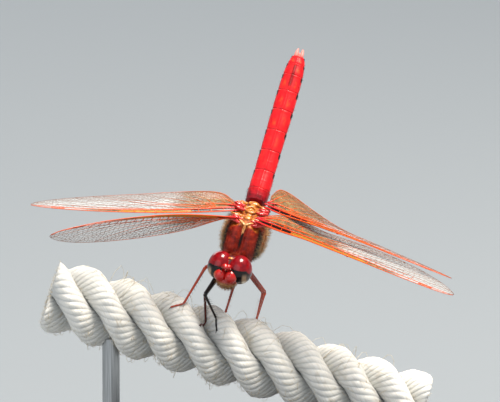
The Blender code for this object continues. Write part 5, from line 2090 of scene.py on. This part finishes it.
@dataclass
class Leg:
    """One leg: hip joints, femur, tibia with its rows of spines, toes and claws."""

    name: str                   # pair and side, as in its CAD nodes
    axes: Matrix                # thorax frame
    rope: Rope                  # the rope that it grips
    base: tuple[float, float, float]    # where it leaves the thorax
    hip: tuple[float, float, float]     # its second joint
    femur: float                # length of the femur
    tibia: float                # length of the tibia
    ankle: tuple[float, float]  # place along the rope and degrees from its top
    toe: tuple[float, float]    # place of the last toe joint
    swing: float                # turn of the knee about the line from hip to ankle
    girth: float                # half thickness of the femur
    warm: tuple[float, float]   # how red its shell is, at the hip and at the toes; lowered on the right front and middle legs as painted shade
    spines: Finish              # finish of its spines
    knee_lift: float = 0.62     # height over the rope that the knee is worked out for
    ankle_lift: float = 0.44
    toe_lift: float = 0.15

    def knee(self, hip: Vector, ankle: Vector) -> Vector:
        """Work out where the two long bars between hip and ankle meet.

        Args:
            hip: free end of the femur.
            ankle: free end of the tibia.

        Returns:
            Place of the knee.
        """
        line = ankle - hip
        reach = line.length
        line = line.normalized()
        along = (self.femur ** 2 - self.tibia ** 2 + reach ** 2) / (2 * reach)
        rise = math.sqrt(max(self.femur ** 2 - along ** 2, 0.0))
        up = Vector((0.0, 0.0, 1.0))
        up = (up - line * up.dot(line)).normalized()
        side = line.cross(up)
        angle = math.radians(self.swing)
        return hip + line * along + (up * math.cos(angle) + side * math.sin(angle)) * rise

    def foot(self, part: float) -> Vector:
        """Place on the foot, at a share of the way from ankle to toe."""
        along, angle = (start + (stop - start) * part for start, stop in zip(self.ankle, self.toe))
        lift = self.ankle_lift + (self.toe_lift - self.ankle_lift) * min(1.0, 2.5 * part)
        return self.rope.point(along, math.radians(angle), lift)

    def build(self) -> None:
        """Make the shell of each part, and the spines."""
        base, hip = self.axes @ Vector(self.base), self.axes @ Vector(self.hip)
        high = self.rope.point(self.ankle[0], math.radians(self.ankle[1]), self.knee_lift)
        knee = self.knee(hip, high)
        foot = np.array([self.foot(k / 8) for k in range(9)])
        ankle = Vector(foot[0])
        upper, lower, toes = Heap(), Heap(), Heap()
        self.bar(upper, (base.lerp(hip, -0.35), base, base.lerp(hip, 0.75), hip),
                 ((0.0, 0.6), (0.45, 0.52), (0.8, 0.42), (0.92, 0.3), (1.0, 0.28)), 0.0, 0.25)
        self.bar(upper, (hip, hip.lerp(knee, 0.33), hip.lerp(knee, 0.66), knee),
                 ((0.0, 0.28), (0.05, 0.36), (0.11, 0.3), (0.16, self.girth * 0.86),
                  (0.45, self.girth * 0.9), (0.8, 0.27), (0.94, 0.24), (0.985, 0.27), (1.0, 0.2)),
                 0.25, 0.55)
        self.bar(lower, (knee, knee.lerp(ankle, 0.5), ankle),
                 ((0.0, 0.17), (0.03, 0.25), (0.08, 0.2), (0.3, 0.18), (0.8, 0.145),
                  (0.95, 0.16), (0.985, 0.19), (1.0, 0.12)), 0.55, 0.85)
        self.make_toes(toes, foot)
        for heap, part, node in ((upper, "thigh", "femur"), (lower, "shin", "tibia"),
                                 (toes, "toes", "tarsus")):
            heap.build(f"leg_{self.name}_{part}", LEG_SHELL, "leg", (f"leg_{self.name}_{node}",))
        self.make_spines(np.array(hip), np.array(knee), foot[0])

    @staticmethod
    def between(points: Array, shares: Array) -> Array:
        """Places at shares of the length of a run of points."""
        steps = np.linalg.norm(np.diff(points, axis=0), axis=1)
        travel = np.concatenate([[0.0], np.cumsum(steps)])
        return np.stack([np.interp(shares * travel[-1], travel, row) for row in points.T], -1)

    def bar(self, heap: Heap, corners: Sequence[Vector], girths: Stations, start: float,
            stop: float) -> None:
        """Add one shell along a few points.

        Args:
            heap: the piece it goes to.
            corners: points of its middle line.
            girths: rows of share along and half thickness.
            start: share along the whole leg where it begins, for its colour.
            stop: share along the whole leg where it ends.
        """
        share = np.linspace(0.0, 1.0, 34)
        leg = start + (stop - start) * share
        heap.tube(self.between(np.array([tuple(corner) for corner in corners]), share),
                  np.interp(share, *np.array(girths).T), 16,
                  warm=self.warm[0] + (self.warm[1] - self.warm[0]) * leg,
                  place=np.stack([4.0 * leg, np.full(34, 3.0 * self.girth), np.zeros(34)], -1))

    def make_toes(self, heap: Heap, foot: Array) -> None:
        """Add the beaded toe joints along the rope and the two hooked claws.

        Args:
            heap: the piece they go to.
            foot: points from ankle to toe.
        """
        share = np.linspace(0.0, 1.0, 46)
        girth = 0.105 + 0.035 * np.abs(np.sin(2.5 * math.pi * share)) * (1.0 - 0.3 * share)
        heap.tube(self.between(foot, share), girth, 12, warm=self.warm[1],
                  place=np.stack([4.0 + share, np.full(46, 3.0 * self.girth), np.zeros(46)], -1))
        end, way = foot[-1], unit(foot[-1] - foot[-2])
        out = unit(end - np.array(self.rope.axis @ Vector((self.toe[0], 0.0, 0.0))))
        across = np.cross(way, out)
        turns = np.linspace(0.0, 1.0, 9)[:, None]
        for sign in (1.0, -1.0):
            hook = (end - 0.04 * way + way * 0.34 * np.sin(1.6 * turns)
                    + across * sign * (0.05 + 0.2 * turns) - out * 0.17 * turns ** 2)
            heap.tube(hook, np.linspace(0.07, 0.012, 9), 8, warm=0.1, place=hook)

    def make_spines(self, hip: Array, knee: Array, ankle: Array) -> None:
        """Make two rows of spines down the femur and the tibia.

        Args:
            hip: start of the femur.
            knee: end of the femur and start of the tibia.
            ankle: end of the tibia.
        """
        draw = np.random.default_rng(len(self.name) * 7 + int(self.femur * 10))
        heap = Heap()
        bend = unit(np.cross(knee - hip, ankle - knee))
        for start, stop, girth, count, length in ((hip, knee, 0.3, 13, 0.26),
                                                  (knee, ankle, 0.16, 9, 0.62)):
            way = unit(stop - start)
            inner = unit(np.cross(bend, way))
            if inner @ (hip + ankle - 2 * knee) < 0:
                inner = -inner
            for sign in (1.0, -1.0):
                share = np.linspace(0.2, 0.93, count) + draw.normal(0.0, 0.008, count)
                out = unit(inner * 0.75 + sign * bend * 0.8)
                roots = start + share[:, None] * (stop - start) + out * girth * 0.75
                tall = length * (1.05 - 0.35 * share)[:, None] * draw.uniform(0.85, 1.1, (count, 1))
                tips = roots + unit(out + 0.75 * way + draw.normal(0.0, 0.06, (count, 3))) * tall
                maps = np.stack([share, np.full(count, 0.5 + 0.2 * sign)], -1)
                heap.hairs(roots, tips, out * 0.03 * tall, np.full(count, 0.03), maps, place=roots)
        heap.build(f"leg_{self.name}_spines", self.spines, "leg")




# -------- studio

@dataclass
class Studio:
    """Pale floor, soft lights and the camera."""

    centre: tuple[float, float, float] = (1.89, 0.34, 41.90)    # what the camera looks at
    distance: float = 800.0     # from the camera to it
    frame_width: float = 67.57  # width of the view there
    sensor: float = 36.0
    tilt: float = 12.0          # the camera looks down by this much

    def build(self) -> None:
        """Make everything round the model."""
        self.make_floor()
        self.make_camera()
        self.make_light("key_overhead", (180.0, -60.0, 620.0), 380.0, 7.8, "#FFF6EA")
        self.make_light("fill_front", (-420.0, -760.0, 300.0), 1100.0, 2.2, "#F0F5FF")
        self.make_light("rim_rear", (-200.0, 700.0, 420.0), 500.0, 1.6, "#FFFFFF")
        world = bpy.data.worlds.new("studio")
        bpy.context.scene.world = world
        world.use_nodes = True
        backdrop = world.node_tree.nodes["Background"]
        backdrop.inputs["Color"].default_value = linear("#E4E9ED")
        backdrop.inputs["Strength"].default_value = 0.48
        bpy.context.scene.view_settings.view_transform = "Standard"

    def make_floor(self) -> None:
        """Round pale floor under the stand."""
        bpy.ops.object.select_all(action="DESELECT")
        bpy.ops.mesh.primitive_circle_add(vertices=96, radius=4.0, fill_type="NGON",
                                          location=(0.0, 0.0, -0.0002))
        floor = bpy.context.object
        floor.name = "floor"
        bpy.ops.object.transform_apply(location=True, rotation=True, scale=True)
        floor.data.materials.append(FLOOR.material())

    def make_camera(self) -> None:
        """Long lens in front of the insect, looking slightly down."""
        tilt = math.radians(self.tilt)
        data = bpy.data.cameras.new("camera")
        data.sensor_width = self.sensor
        data.lens = self.sensor * self.distance / self.frame_width
        data.clip_start, data.clip_end = 0.05, 20.0
        camera = bpy.data.objects.new("camera", data)
        bpy.context.scene.collection.objects.link(camera)
        offset = Vector((0.0, -math.cos(tilt), math.sin(tilt))) * self.distance
        camera.location = (Vector(self.centre) + offset) * MM
        camera.rotation_euler = (math.radians(90.0) - tilt, 0.0, 0.0)
        bpy.context.scene.camera = camera

    def make_light(self, name: str, place: Sequence[float], size: float, power: float,
                   colour: str) -> None:
        """Add one oval soft light that faces the model.

        Args:
            name: its name.
            place: its centre in millimetres.
            size: its width in millimetres.
            power: its power in watts.
            colour: hex colour.
        """
        data = bpy.data.lights.new(name, "AREA")
        data.shape = "ELLIPSE"
        data.size, data.size_y = size * MM, 0.75 * size * MM
        data.energy = power
        data.color = linear(colour)[:3]
        light = bpy.data.objects.new(name, data)
        bpy.context.scene.collection.objects.link(light)
        light.location = Vector(place) * MM
        aim = (Vector(self.centre) - Vector(place)).to_track_quat("-Z", "Y")
        light.rotation_euler = aim.to_euler()


# -------- main

def wings(axes: Matrix) -> list[Blade]:
    """The four wings.

    Args:
        axes: thorax frame.

    Returns:
        The wings, not built yet.
    """
    streaks = ((0.02, 0.19, -0.5, 0.0, 1.0), (0.03, 0.12, -1.0, -0.5, 0.8),
               (0.18, 0.55, -0.5, 0.0, 0.42), (0.02, 0.26, 0.03, 0.24, 0.42))
    hind = Stain(amber=0.4, lobe=1.0, streaks=(
        (0.02, 0.24, -0.5, 0.0, 1.0), (0.02, 0.11, 0.13, 0.2, 0.95), (0.23, 0.4, -0.5, 0.0, 0.4)))
    return [
        Blade("wing_fore_left", axes, Side.LEFT, (1.6, -1.6, 0.46), length=29.8, sweep=16.0,
              rise=6.2, pitch=22.0, washout=0.0, bow=0.5, plan=FORE_PLAN,
              stain=Stain(amber=0.56, lobe=0.9, streaks=streaks), relax=22.0),
        Blade("wing_fore_right", axes, Side.RIGHT, (1.6, -1.6, -0.2), length=29.8, sweep=44.8,
              rise=9.8, pitch=47.2, washout=26.6, bow=0.35, plan=FORE_PLAN,
              stain=Stain(amber=0.5, lobe=0.0, streaks=streaks)),
        Blade("wing_hind_left", axes, Side.LEFT, (1.9, 2.28, 0.61), length=28.3, sweep=16.2,
              rise=5.1, pitch=5.3, washout=31.6, bow=0.05, plan=HIND_PLAN, stain=hind,
              heel=0.45, relax=6.0, dip=0.4),
        Blade("wing_hind_right", axes, Side.RIGHT, (1.9, 0.9, -0.6), length=28.3, sweep=22.9,
              rise=-1.0, pitch=12.1, washout=9.4, bow=-0.15, plan=HIND_PLAN, stain=hind),
    ]


def legs(axes: Matrix, rope: Rope) -> list[Leg]:
    """The six legs.

    Args:
        axes: thorax frame.
        rope: the rope that they grip.

    Returns:
        The legs, not built yet.
    """
    return [
        # Painted shade: the right front leg, under the head, and the right middle leg get darker
        # shells than their left partners; the left legs' pale spines are painted highlight.
        Leg("fore_left", axes, rope, base=(1.0, -4.9, -4.9), hip=(1.5, -5.2, -6.5), femur=4.45,
            tibia=3.7, ankle=(-3.0, -12.0), toe=(-3.6, -42.0), swing=35.0, girth=0.32,
            warm=(0.5, 0.85), spines=PALE_BRISTLE),
        Leg("fore_right", axes, rope, base=(-1.0, -4.9, -4.9), hip=(-1.5, -5.2, -6.5), femur=4.45,
            tibia=4.1, ankle=(-4.2, 26.0), toe=(-3.6, 46.0), swing=-10.0, girth=0.42,
            warm=(0.06, 0.1), spines=BRISTLE),
        Leg("mid_left", axes, rope, base=(1.1, -2.2, -5.9), hip=(1.6, -2.6, -7.8), femur=4.75,
            tibia=4.05, ankle=(1.5, -34.0), toe=(3.1, -46.0), swing=15.0, girth=0.34,
            warm=(0.6, 0.9), spines=PALE_BRISTLE),
        Leg("mid_right", axes, rope, base=(-1.1, -2.2, -5.9), hip=(-1.6, -2.6, -7.8), femur=4.85,
            tibia=4.05, ankle=(-5.3, 22.0), toe=(-6.0, 52.0), swing=92.0, girth=0.36,
            warm=(0.3, 0.55), spines=BRISTLE),
        Leg("hind_left", axes, rope, base=(0.9, -0.1, -6.2), hip=(0.8, -0.6, -8.6), femur=6.33,
            tibia=6.0, ankle=(1.5, -50.0), toe=(0.4, -76.0), swing=-49.1, girth=0.34,
            warm=(0.75, 0.85), spines=PALE_BRISTLE),
        Leg("hind_right", axes, rope, base=(-1.2, -0.1, -6.2), hip=(-1.9, -0.3, -7.9), femur=5.8,
            tibia=5.6, ankle=(-9.0, 28.0), toe=(-10.4, 25.0), swing=-28.0, girth=0.34,
            warm=(0.72, 0.8), spines=BRISTLE),
    ]


def main() -> None:
    """Build the studio, the stand, the rope and the insect in order."""
    logging.basicConfig(level=logging.INFO, format="%(name)s %(message)s")
    Studio().build()
    Stand().build()
    rope = Rope()
    rope.build()
    posture = Posture()
    thorax = posture.thorax(rope)
    Head(posture.head(rope)).build()
    Thorax(thorax).build()
    Abdomen(posture.waist(rope), posture.abdomen(rope)).build()
    for blade in wings(thorax):
        blade.build()
    for leg in legs(thorax, rope):
        leg.build()


if __name__ == "__main__":
    main()
